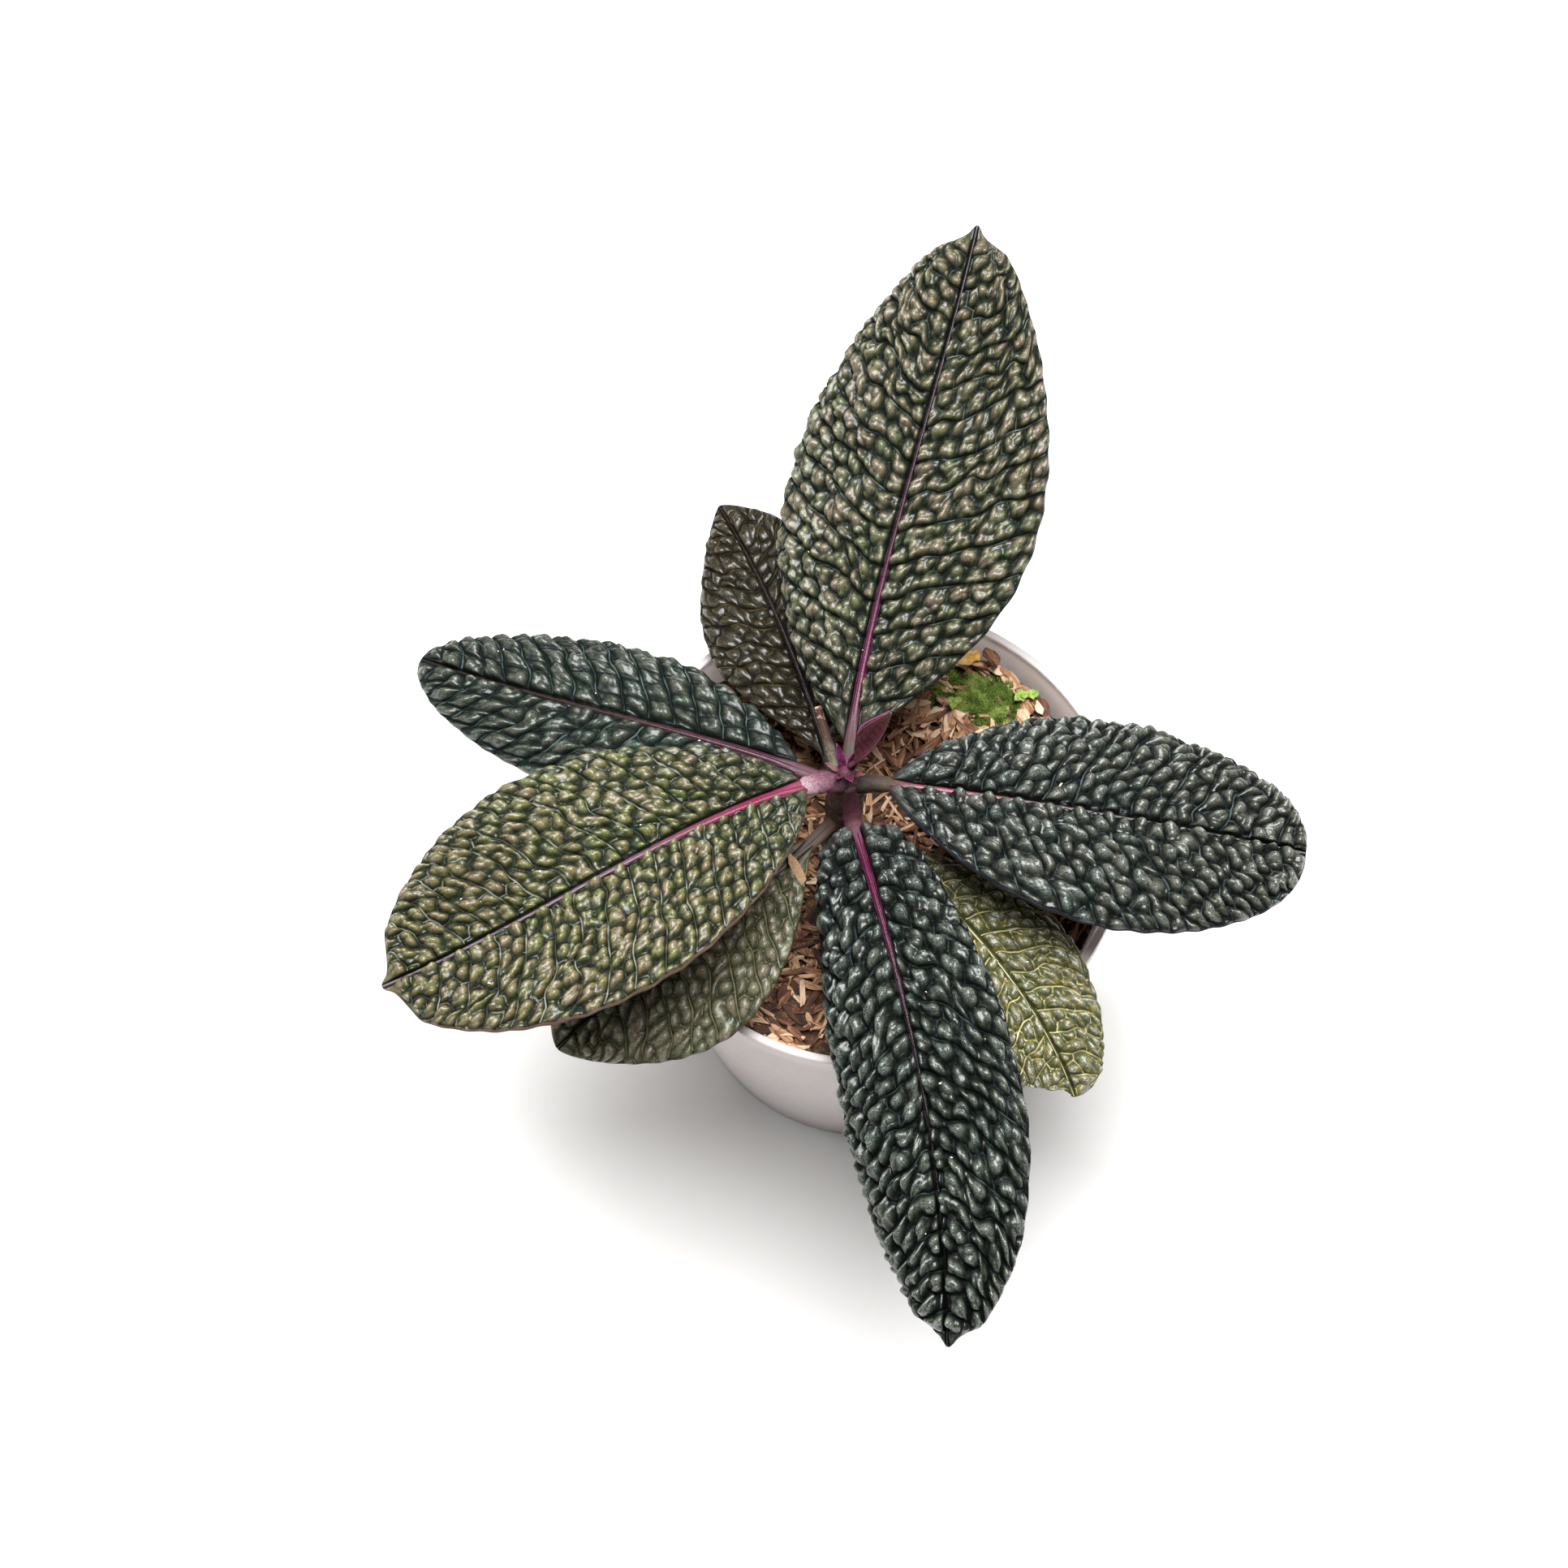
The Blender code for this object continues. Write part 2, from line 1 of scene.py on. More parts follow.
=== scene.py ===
# Potted labisia: eight puckered leaves and one unfolding leaf on a short stem,
# in bark substrate in a milky plastic pot.
import math
import random
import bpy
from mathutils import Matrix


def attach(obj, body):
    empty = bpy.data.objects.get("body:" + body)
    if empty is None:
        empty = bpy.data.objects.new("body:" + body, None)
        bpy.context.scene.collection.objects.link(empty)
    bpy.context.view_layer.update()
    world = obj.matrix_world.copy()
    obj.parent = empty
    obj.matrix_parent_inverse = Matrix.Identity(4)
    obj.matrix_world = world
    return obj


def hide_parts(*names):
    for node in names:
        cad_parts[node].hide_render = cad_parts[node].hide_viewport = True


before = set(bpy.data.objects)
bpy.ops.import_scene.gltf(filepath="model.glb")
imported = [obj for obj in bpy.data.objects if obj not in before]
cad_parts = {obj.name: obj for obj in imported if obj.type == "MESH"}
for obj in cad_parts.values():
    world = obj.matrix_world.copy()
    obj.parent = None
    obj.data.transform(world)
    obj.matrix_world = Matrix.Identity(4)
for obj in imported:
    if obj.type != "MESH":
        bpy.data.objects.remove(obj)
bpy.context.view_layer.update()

from types import SimpleNamespace

import bmesh
import bpy
import numpy as np
from mathutils import Euler, Matrix, Vector, noise
from mathutils.bvhtree import BVHTree

mm = 0.001
scene = bpy.context.scene


# Small tools that every piece uses

def linearColour(hexColour):
    channels = [int(hexColour[i:i + 2], 16) / 255 for i in (0, 2, 4)]
    curved = [c / 12.92 if c <= 0.04045 else ((c + 0.055) / 1.055) ** 2.4 for c in channels]
    return (*curved, 1.0)


def fillSockets(node, values):
    # a socket takes a number, a hex colour or another node's output
    for key, value in values.items():
        socket = node.inputs[key]
        if isinstance(value, bpy.types.NodeSocket):
            node.id_data.links.new(value, socket)
        else:
            socket.default_value = linearColour(value) if isinstance(value, str) else value


def addNode(tree, kind, links=None, stops=None, **settings):
    # stops are the places and colours of a ramp
    node = tree.nodes.new("ShaderNode" + kind)
    for key, value in settings.items():
        setattr(node, key, value)
    fillSockets(node, links or {})
    if stops:
        ramp = node.color_ramp
        ramp.elements.remove(ramp.elements[1])
        ramp.elements[0].position = stops[0][0]
        ramp.elements[0].color = linearColour(stops[0][1])
        for place, colour in stops[1:]:
            ramp.elements.new(place).color = linearColour(colour)
    return node


def newMaterial(name, constants):
    # constants are set on the shader's own sockets
    material = bpy.data.materials.new(name)
    material.use_nodes = True
    shader = material.node_tree.nodes["Principled BSDF"]
    fillSockets(shader, constants)
    return material, material.node_tree, shader


def meshOf(name, points, faces, smooth=True):
    # points in millimetres
    mesh = bpy.data.meshes.new(name)
    mesh.from_pydata((np.asarray(points, float) * mm).tolist(), [], faces)
    mesh.validate()
    mesh.polygons.foreach_set("use_smooth", [smooth] * len(mesh.polygons))
    mesh.update()
    return mesh


def addPiece(name, mesh, material, slot, *nodes):
    piece = bpy.data.objects.new(name, mesh)
    scene.collection.objects.link(piece)
    mesh.materials.append(material)
    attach(piece, "root")
    if nodes:
        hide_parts(*nodes)
    return piece


# numbers that leave no pattern
shuffle = dict(factors=(12.9898, 78.233, 37.719, 94.673, 53.987), spread=43758.5453)


def draw(*keys):
    # a number from 0 to 1, always the same for the same keys
    mixed = sum(np.asarray(key, float) * factor for key, factor in zip(keys, shuffle["factors"]))
    return np.modf(np.abs(np.sin(mixed) * shuffle["spread"]))[0]


def easeIn(x, low, high):
    t = np.clip((x - low) / (high - low), 0, 1)
    return t * t * (3 - 2 * t)


def softNoise(u, v, *keys):
    # smooth hills and hollows from -1 to 1, one for each step of u and v
    cellU, cellV = np.floor(u), np.floor(v)
    toU, toV = easeIn(u - cellU, 0, 1), easeIn(v - cellV, 0, 1)
    near, far = ((draw(cellU + i, cellV, *keys) * (1 - toV) + draw(cellU + i, cellV + 1, *keys) * toV)
                 for i in (0, 1))
    return 2 * (near * (1 - toU) + far * toU) - 1


# Leaves. Millimetres and degrees. The midrib's yaw and pitch are given at the stem,
# half way and at the tip, roll at the stem and the tip.

stem = dict(axis=(-6.5, 0.5), nodeRadius=4.45, rootGap=0.4)

leafBuild = dict(
    bladeThickness=0.6, edgeThickness=0.34, edgeBand=1.5,
    ribThickness=1.5, ribThinning=0.3, ribHalfWidths=(1.15, 0.24), ribRound=0.95,
    petioleThickness=2.4, petioleHalfWidth=1.7,
    petioleShare=(0.32, 0.68),                  # how much of it lies above and below the midrib's line
    petioleFade=0.17, roundFade=0.07,           # parts of the blade over which the petiole thins out
    veinLead=0.15, veinWobble=0.1,              # side veins run forward, and not quite straight
    veinWiggle=0.2, wiggleSpacing=4.5,
    sideRidge=(0.3, 0.45), netRidge=(0.16, 0.35),       # height and half width of the veins underneath
    byRib=(0.3, 1.5), byMargin=(-0.1, 0.9),     # how pillows start, from the midrib and from the margin
    marginRelief=(0.6, 5),                      # share of the relief at the margin, whole this far in
    fullness=0.65,                              # below 1, the pillows' tops are broad
    marginScallop=0.007, marginWave=0.2, waveTurn=2.1,
    beakFrom=(0.95, 0.988), tipFade=2.5,
    notchPlace=(0.82, 0.07), tearSpacing=1.6,
    ribColumns=6, petioleRows=12, rowsGather=0.35, spineSteps=160)

# fold is how steeply both halves rise from the midrib, droop how steeply the left and the right
# one point down at the margin. puff is how high the pillows stand, cell how far apart, stretch
# how long for their width, dome and shoulder how wide their round sides are at the net and at a
# side vein. twoAcross is the share of wide bands with two rows of them, lobe the size of the
# swellings on each, wrinkle how deep the creases between those go, broken how often a pillow
# runs over a side vein.
leaves = {
    "leafTop": dict(
        node="leaf_top", slot="olive_leaf",
        yaw=(83, 73, 77), pitch=(16, 25, 15), roll=(14, 3), height=123.7,
        length=128.5, petiole=5, halfWidth=32.5, widest=0.46, baseShape=1.0, tipShape=0.66, beak=0.6,
        fold=9, droop=(38, 18), veins=15, rowsPerVein=22, columns=80,
        puff=3.3, cell=5.3, stretch=1.15, dome=1.6, twoAcross=1,
        lobe=2.5, shoulder=1.6, wrinkle=0.8, broken=0.35),
    "leafRight": dict(
        node="leaf_right", slot="dark_leaf",
        yaw=(-7, -6, -11), pitch=(0, -9, -5), roll=(16, 3), height=126,
        length=102.5, petiole=5, halfWidth=30.5, widest=0.51, baseShape=0.68, tipShape=0.42,
        fold=12, droop=(31, 10), veins=14, rowsPerVein=20, columns=76,
        puff=3.6, cell=5.7, stretch=1.15, dome=1.7, twoAcross=0.95,
        lobe=3.1, shoulder=1.7, wrinkle=0.6, broken=0.4, ribSize=0.8),
    "leafFront": dict(
        node="leaf_front", slot="dark_leaf",
        yaw=(-77, -79, -90), pitch=(18, -9, -33), roll=(1, -24), height=118,
        length=126, petiole=5, halfWidth=22, widest=0.56, baseShape=0.25, tipShape=0.6, beak=0.5,
        fold=12, droop=(29, 60), veins=14, rowsPerVein=24, columns=56,
        puff=3.9, cell=5.2, stretch=1.15, dome=1.7, twoAcross=1,
        lobe=2.8, shoulder=1.8, wrinkle=0.7, broken=0.35, ribSize=0.85),
    "leafLeft": dict(
        node="leaf_left", slot="olive_leaf",
        yaw=(203, 213, 203), pitch=(18, 6, -3), roll=(-10, 0), height=129.3,
        length=110.8, petiole=6, halfWidth=31, widest=0.53, baseShape=0.57, tipShape=0.54, beak=0.7,
        fold=16, droop=(0, 13), veins=16, rowsPerVein=18, columns=76,
        puff=2.9, cell=5.0, stretch=1.2, dome=1.5, twoAcross=1,
        lobe=2.4, shoulder=1.5, wrinkle=0.72, broken=0.4, ribSize=1.15),
    "leafBackLeft": dict(
        node="leaf_back_left", slot="dark_leaf",
        yaw=(157, 161, 151), pitch=(0, -6, -17), roll=(-8, 5), height=122,
        length=104.7, petiole=7, halfWidth=21, widest=0.46, baseShape=0.84, tipShape=0.51,
        fold=12, droop=(27, 34), veins=16, rowsPerVein=18, columns=52,
        puff=2.9, cell=5.0, stretch=1.15, dome=1.7, twoAcross=0.1,
        lobe=3.0, shoulder=2.3, wrinkle=0.7, broken=0.15),
    "oldLeafBack": dict(
        node="old_leaf_back", slot="brown_leaf",
        yaw=(106, 110, 115), pitch=(10, -3, -13), roll=(4, 20), height=112,
        length=84, petiole=8, halfWidth=19, widest=0.51, baseShape=0.98, tipShape=0.8,
        fold=13, droop=(25, 10), veins=13, rowsPerVein=16, columns=44,
        puff=1.9, cell=4.0, stretch=1.1, dome=1.3, twoAcross=0.95,
        lobe=2.3, shoulder=1.3, wrinkle=0.5, broken=0.2, ribSize=0.75),
    "oldLeafFrontLeft": dict(
        node="old_leaf_front_left", slot="brown_leaf",
        yaw=(231, 218, 220), pitch=(11, -4, -19), roll=(-1, 4), height=110,
        length=83, petiole=8, halfWidth=24, widest=0.55, baseShape=0.9, tipShape=0.71,
        fold=14, droop=(14, 13), veins=13, rowsPerVein=16, columns=52,
        puff=1.9, cell=3.8, stretch=1.1, dome=1.3, twoAcross=0.95,
        lobe=2.4, shoulder=1.4, wrinkle=0.5, broken=0.2, ribSize=0.7),
    "oldLeafFrontRight": dict(
        node="old_leaf_front_right", slot="yellowing_leaf",
        yaw=(-48, -51, -70), pitch=(6, -4, -21), roll=(3, 6), height=111,
        length=82, petiole=8, halfWidth=19, widest=0.54, baseShape=1.0, tipShape=0.42,
        torn=(0.085, 0.012, 0.03),
        fold=12, droop=(24, 16), veins=14, rowsPerVein=14, columns=52,
        puff=2.4, cell=3.3, stretch=1.05, dome=1.15, twoAcross=1,
        lobe=2.0, shoulder=1.2, wrinkle=0.5, broken=0.2, ribSize=0.4),
    "youngLeaf": dict(
        node="young_leaf", slot="young_leaf",
        yaw=(18, 45, 72), pitch=(40, 42, 46), roll=(62, 62), height=131.9,
        length=17, petiole=2, halfWidth=4.8, widest=0.5, baseShape=0.7, tipShape=0.9,
        fold=76, droop=(-86, -86), veins=9, rowsPerVein=8, columns=26,
        puff=0.14, cell=2.4, stretch=1.3, dome=0.8, twoAcross=0,
        lobe=1.3, shoulder=0.7, wrinkle=0.25, broken=0,
        rootRadius=1.0, petioleThickness=1.1, petioleHalfWidth=1.0),
}

# What the eye sees on each leaf, sRGB. rib: at the stem, near the base, half way, at the tip.
# The greyish colour laid on the pillows' tops is wax bloom together with a painted highlight; the darker
# colours of the flanks, grooves and creases are painted shade. sideVein and netVein say how clearly the lines
# in the grooves show, veinsLeft what is left of them where they are faintest.
leafLooks = {
    "leafTop": dict(
        crest="4f5438", crestAlt="5a4e3c", waxBloomAndHighlight="aeab98", grooveShade="070a06", paintedShade="171e13", vein="9aa69c",
        rim="2c2a30", rib=("3a2c26", "4e0c32", "321422", "1e1418"), under="5a5648",
        sideVein=0.4, netVein=0.25, tipBrown=0.3),
    "leafRight": dict(
        crest="2b362e", crestAlt="403f34", waxBloomAndHighlight="acb4b2", grooveShade="030504", paintedShade="0a100e", vein="8c9ea0",
        rim="2a2c32", rib=("3c2c22", "6c2038", "5c5052", "565a56"), under="4c4840",
        sideVein=0.3, netVein=0.2, tipBrown=0.8, gloss=(0.2, 0.34)),
    "leafFront": dict(
        crest="26322a", crestAlt="363b2f", waxBloomAndHighlight="aab2b0", grooveShade="020403", paintedShade="080d0b", vein="849a9a",
        rim="20282c", rib=("4c1430", "4c1030", "180c12", "0a080a"), under="46443c",
        sideVein=0.22, netVein=0.15, tipBrown=0.7, gloss=(0.2, 0.34)),
    "leafLeft": dict(
        crest="505727", crestAlt="60543a", waxBloomAndHighlight="b4b09c", grooveShade="080b05", paintedShade="161e0d", vein="b2b4a8",
        rim="6c5448", rib=("6c2c42", "701e3c", "5c3c4c", "544c52"), under="6a6450",
        sideVein=0.5, netVein=0.4, tipBrown=0.5),
    "leafBackLeft": dict(
        crest="222f25", crestAlt="343428", waxBloomAndHighlight="808c86", grooveShade="040806", paintedShade="0d1714", vein="7c948c",
        rim="222a28", rib=("46242e", "3a1826", "2c1418", "201416"), under="4c4a40",
        sideVein=0.35, netVein=0.2, tipBrown=0.6),
    "oldLeafBack": dict(
        crest="2b2315", crestAlt="232112", waxBloomAndHighlight="665c42", grooveShade="0c0a06", paintedShade="16120a", vein="6a5a3a",
        rim="3a2e1c", rib=("2a1a18", "241012", "1e0e0e", "2a1c12"), under="4c4030",
        sideVein=0.5, netVein=0.5, waxAndHighlightShare=0.25),
    "oldLeafFrontLeft": dict(
        crest="64664c", crestAlt="685e4a", waxBloomAndHighlight="aeac98", grooveShade="1c2016", paintedShade="3a3c2c", vein="90906a",
        rim="48422e", rib=("4c3e34", "4a3a36", "403630", "4a4636"), under="4c483a",
        sideVein=0.8, netVein=0.8, waxAndHighlightShare=0.45, veinsLeft=0.6),
    "oldLeafFrontRight": dict(
        crest="4c5238", crestAlt="565038", waxBloomAndHighlight="c6c6b8", grooveShade="383a1c", paintedShade="363c24", vein="c4bc8e",
        rim="807a56", rib=("4a3c20", "7a7650", "a8a27a", "a8a27a"), under="5c5830",
        sideVein=1.0, netVein=1.0, gloss=(0.2, 0.38), blotch="8c7a38", waxAndHighlightShare=0.55, veinsLeft=0.6),
    "youngLeaf": dict(
        crest="3a1222", crestAlt="3a2620", waxBloomAndHighlight="6c4460", grooveShade="240a16", paintedShade="2e0a1a", vein="7a3c60",
        rim="8a4a70", rib=("44082a", "500e36", "581640", "a06888"), under="3c1620", underAlt="33241f",
        sideVein=0.25, netVein=0.1),
}


def through(values, t):
    # a parabola through three values at t = 0, 1/2 and 1
    start, middle, end = values
    return start * (2 * t - 1) * (t - 1) + middle * 4 * t * (1 - t) + end * t * (2 * t - 1)


def midribLine(leaf):
    # distance along the midrib, and its point, right and up directions there
    steps = leafBuild["spineSteps"]
    t = np.linspace(0, 1, steps + 1)
    yaw, pitch = (np.radians(through(leaf[key], t)) for key in ("yaw", "pitch"))
    roll = np.radians(leaf["roll"][0] + (leaf["roll"][1] - leaf["roll"][0]) * t)
    along = np.stack([np.cos(pitch) * np.cos(yaw), np.cos(pitch) * np.sin(yaw), np.sin(pitch)], 1)
    flatRight = np.stack([np.sin(yaw), -np.cos(yaw), 0 * yaw], 1)
    flatUp = np.cross(flatRight, along)
    right = flatRight * np.cos(roll)[:, None] + flatUp * np.sin(roll)[:, None]
    up = flatUp * np.cos(roll)[:, None] - flatRight * np.sin(roll)[:, None]
    walked = np.cumsum((along[1:] + along[:-1]) / 2 * leaf["length"] / steps, 0)
    reach = leaf.get("rootRadius", stem["nodeRadius"] + stem["rootGap"])
    root = np.array([stem["axis"][0] + reach * math.cos(yaw[0]),
                     stem["axis"][1] + reach * math.sin(yaw[0]), leaf["height"]])
    return t * leaf["length"], np.vstack([root, root + walked]), right, up


def bladeHalfWidth(leaf, place):
    place = np.clip(place, 0, 1)
    shape = leaf["baseShape"] + (leaf["tipShape"] - leaf["baseShape"]) * place
    bow = np.sin(math.pi * place ** (math.log(0.5) / math.log(leaf["widest"])))
    beak = 1 - leaf.get("beak", 0) * easeIn(place, *leafBuild["beakFrom"])      # a short point on a blunt tip
    return leaf["halfWidth"] * np.clip(bow, 0, 1) ** shape * beak


def acrossTheFold(leaf, side, share, width):
    # how far right and up a point lies, and the surface's own normal there
    fold = math.radians(leaf["fold"])
    turn = fold + math.radians(leaf["droop"][1 if side > 0 else 0])
    if abs(turn) < 1e-4:                    # a straight half has no bend to divide by
        turn = 1e-4
    angle = fold - turn * share
    right = width * (math.sin(fold) - np.sin(angle)) / turn
    lift = width * (np.cos(angle) - math.cos(fold)) / turn
    return side * right, lift, -side * np.sin(angle), np.cos(angle)


netBuild = dict(
    faintShare=0.18, faintDepth=0.3,        # grooves that hardly dip, and how deep those are
    fallOff=0.9, reach=0.75,                # how fast a pillow drops away from its middle
    twoFrom=(3.2, 6),                       # from this width on, a band holds two rows of pillows
    firstRow=0.26, rowStep=0.48, rowJitter=0.16, oneRowJitter=0.3, alongJitter=0.45,
    lobeJitter=0.6, lobeSizes=(0.55, 0.3), creaseWidth=0.3,
    rounding=0.65,                          # the smaller, the steeper a pillow's side
    farAway=1000, unmarked=9)               # in millimetres: no seed here, no groove near


def bulge(distance, radius):
    # the round shoulder of a pillow, from a groove at 0 to its top at radius
    t = np.clip(distance / radius, 0, 1)
    return (1 - (1 - t) ** 2) ** netBuild["rounding"]


def cellField(a, b, seedsA, seedsB, radius, reach):
    # pillows round a set of seeds: height, distance to the nearest deep groove, nearest seed
    squared = (a - seedsA) ** 2 + (b - seedsB) ** 2
    nearest = squared.argmin(0)[None]
    nearA = np.take_along_axis(seedsA, nearest, 0)
    nearB = np.take_along_axis(seedsB, nearest, 0)
    apart = np.sqrt((seedsA - nearA) ** 2 + (seedsB - nearB) ** 2)
    toGroove = (squared - squared.min(0)) / (2 * apart + 1e-6)
    np.put_along_axis(toGroove, nearest, netBuild["farAway"], 0)
    faint = draw(seedsA + nearA, 7.7) < netBuild["faintShare"]
    depth = np.where(faint, netBuild["faintDepth"], 1)
    height = (1 - depth * (1 - bulge(toGroove, radius))).prod(0)
    height *= np.exp(-netBuild["fallOff"] * squared.min(0) / reach ** 2)
    return height, (toGroove + netBuild["unmarked"] * faint).min(0), nearest[0]


def pillowNet(leaf, side, key, a, f, band, interval):
    # the net of veins between side veins: one or two pillows across each band
    size = leaf["cell"]
    bandWidth = np.array([np.median(band[interval == k]) if (interval == k).any() else 0
                          for k in range(leaf["veins"] + 1)])
    seedsA, seedsB, tints = [], [], []
    for step in range(-2, 3):
        index = np.floor(a / size) + step
        wideEnough = easeIn(bandWidth[interval], *netBuild["twoFrom"]) * leaf["twoAcross"]
        twoAcross = draw(index, interval, side, key, 1) < wideEnough
        for row in (0, 1):
            jitter = draw(index, interval, side, key, 2 + row) - 0.5
            inTwo = netBuild["firstRow"] + netBuild["rowStep"] * row + netBuild["rowJitter"] * jitter
            place = np.where(twoAcross, inTwo, 0.5 + netBuild["oneRowJitter"] * jitter)
            gone = (row == 1) & ~twoAcross
            shift = (draw(index, interval, side, key, 4 + row) - 0.5) * netBuild["alongJitter"]
            shift = shift + np.where(twoAcross, netBuild["alongJitter"] * (row - 0.5), 0)
            seedsA.append((index + 0.5 + shift) * size + np.where(gone, netBuild["farAway"], 0))
            seedsB.append(place * band)
            tints.append(draw(index, interval, side, key, 6 + row))
    long = leaf["stretch"]
    height, edge, nearest = cellField(a / long, f * band, np.array(seedsA) / long, np.array(seedsB),
                                      leaf["dome"], netBuild["reach"] * size / long)
    tint = np.take_along_axis(np.array(tints), nearest[None], 0)[0]
    return height, edge, tint


def lobes(leaf, side, key, a, b, interval):
    # small round swellings on each pillow: the upper edge of overlapping domes
    pitch, loose = leaf["lobe"], netBuild["lobeJitter"]
    smallest, spread = netBuild["lobeSizes"]
    heights, tints = [], []
    for stepA in (-1, 0, 1):
        for stepB in (-1, 0, 1):
            indexA, indexB = np.floor(a / pitch) + stepA, np.floor(b / pitch) + stepB
            jitterA, jitterB, size = (draw(indexA, indexB, interval, side + 3 * key, seed)
                                      for seed in (11, 14, 17))
            farA = a / pitch - indexA - (1 - loose) / 2 - loose * jitterA
            farB = b / pitch - indexB - (1 - loose) / 2 - loose * jitterB
            heights.append(-(farA ** 2 + farB ** 2) / (smallest + spread * size) ** 2)
            tints.append(size)
    heights = np.array(heights)
    order = np.sort(heights, 0)
    crease = np.clip((order[-1] - order[-2]) / netBuild["creaseWidth"], 0, 1)       # 0 where two lobes meet
    tint = np.take_along_axis(np.array(tints), heights.argmax(0)[None], 0)[0]
    return np.exp(order[-1]), crease, tint


def leafGrid(leaf):
    # rows run out along the side veins, closer together near a vein
    per = leaf["rowsPerVein"]
    inBand = np.arange(per) / per
    inBand = inBand - leafBuild["rowsGather"] * np.sin(math.tau * inBand) / math.tau
    blade = (np.arange(leaf["veins"])[:, None] + inBand[None]).ravel() / leaf["veins"]
    petiole = np.linspace(-1, 0, leafBuild["petioleRows"], endpoint=False)
    return np.concatenate([petiole, blade, [1.0]])


def layRows(leaf, key, side, rows):
    # one half of the blade laid flat, in rows from the midrib to the margin
    ribColumns, columns = leafBuild["ribColumns"], leaf["columns"]
    petioleHalf = leaf.get("petioleHalfWidth", leafBuild["petioleHalfWidth"])
    row = np.repeat(rows[:, None], columns + 1, 1)
    column = np.arange(columns + 1)[None] + 0 * row
    out = np.clip((column - ribColumns) / (columns - ribColumns), 0, 1)

    # rows run forward and sway a little, and the margin is faintly scalloped
    inBlade = np.clip(row, 0, 1)
    phase = inBlade * leaf["veins"]
    sway = np.sin(9 * out + 1.9 * phase + 3 * side + key) + 0.7 * np.sin(17 * out - 2.7 * phase + key)
    sway *= leafBuild["veinWobble"] / leaf["veins"] * out * (1 - out ** 4)
    wiggle = softNoise(out * leaf["halfWidth"] / leafBuild["wiggleSpacing"], phase * 0.9, side, key, 31)
    sway += leafBuild["veinWiggle"] / leaf["veins"] * wiggle * easeIn(out, 0, 0.12) * (1 - out ** 6)
    lead = 4 * inBlade * (1 - inBlade)
    place = np.where(row > 0, inBlade + lead * (leafBuild["veinLead"] * out ** 1.2 + sway), row)
    place = np.minimum(place, 1)
    width = np.hypot(bladeHalfWidth(leaf, place), petioleHalf * (1 - np.clip(place, 0, 1)))
    scallop = leafBuild["marginScallop"] * (1 + np.cos(math.tau * phase)) * out ** 3
    width = np.where(row > 0, width * (1 - scallop), petioleHalf)

    # the midrib takes the inner columns, the rest are even out to the margin
    stalk = 1 - easeIn(place, 0, leafBuild["roundFade"])
    taper = (1 - np.clip(place, 0, 1)) ** 2
    rib = leafBuild["ribHalfWidths"][1] + np.ptp(leafBuild["ribHalfWidths"]) * taper
    rib = rib * leaf.get("ribSize", 1) * petioleHalf / leafBuild["petioleHalfWidth"]
    rib = np.minimum(rib, (0.4 + 0.4 * stalk) * width)
    inRib = np.sin(np.clip(column / ribColumns, 0, 1) * math.pi / 2)
    x = np.where(column <= ribColumns, rib * inRib, rib + (width - rib) * out)
    share = x / np.maximum(width, 1e-6)
    if "torn" in leaf and side > 0:
        # the tip is torn off at a slant: what lies past the tear is drawn back to it
        slant, ragged, notch = leaf["torn"]
        notchAt, notchWidth = leafBuild["notchPlace"]
        tear = 1 - slant * share ** 0.8 - ragged * softNoise(x / leafBuild["tearSpacing"], 0 * x, key, 41)
        tear = tear - notch * np.exp(-((share - notchAt) / notchWidth) ** 2)
        place = np.where(place > tear, tear + 0.01 * (place - tear), place)
    return SimpleNamespace(row=row, phase=phase, place=place, width=width, stalk=stalk, rib=rib,
                           x=x, share=share, toMargin=(1 - share) * width)


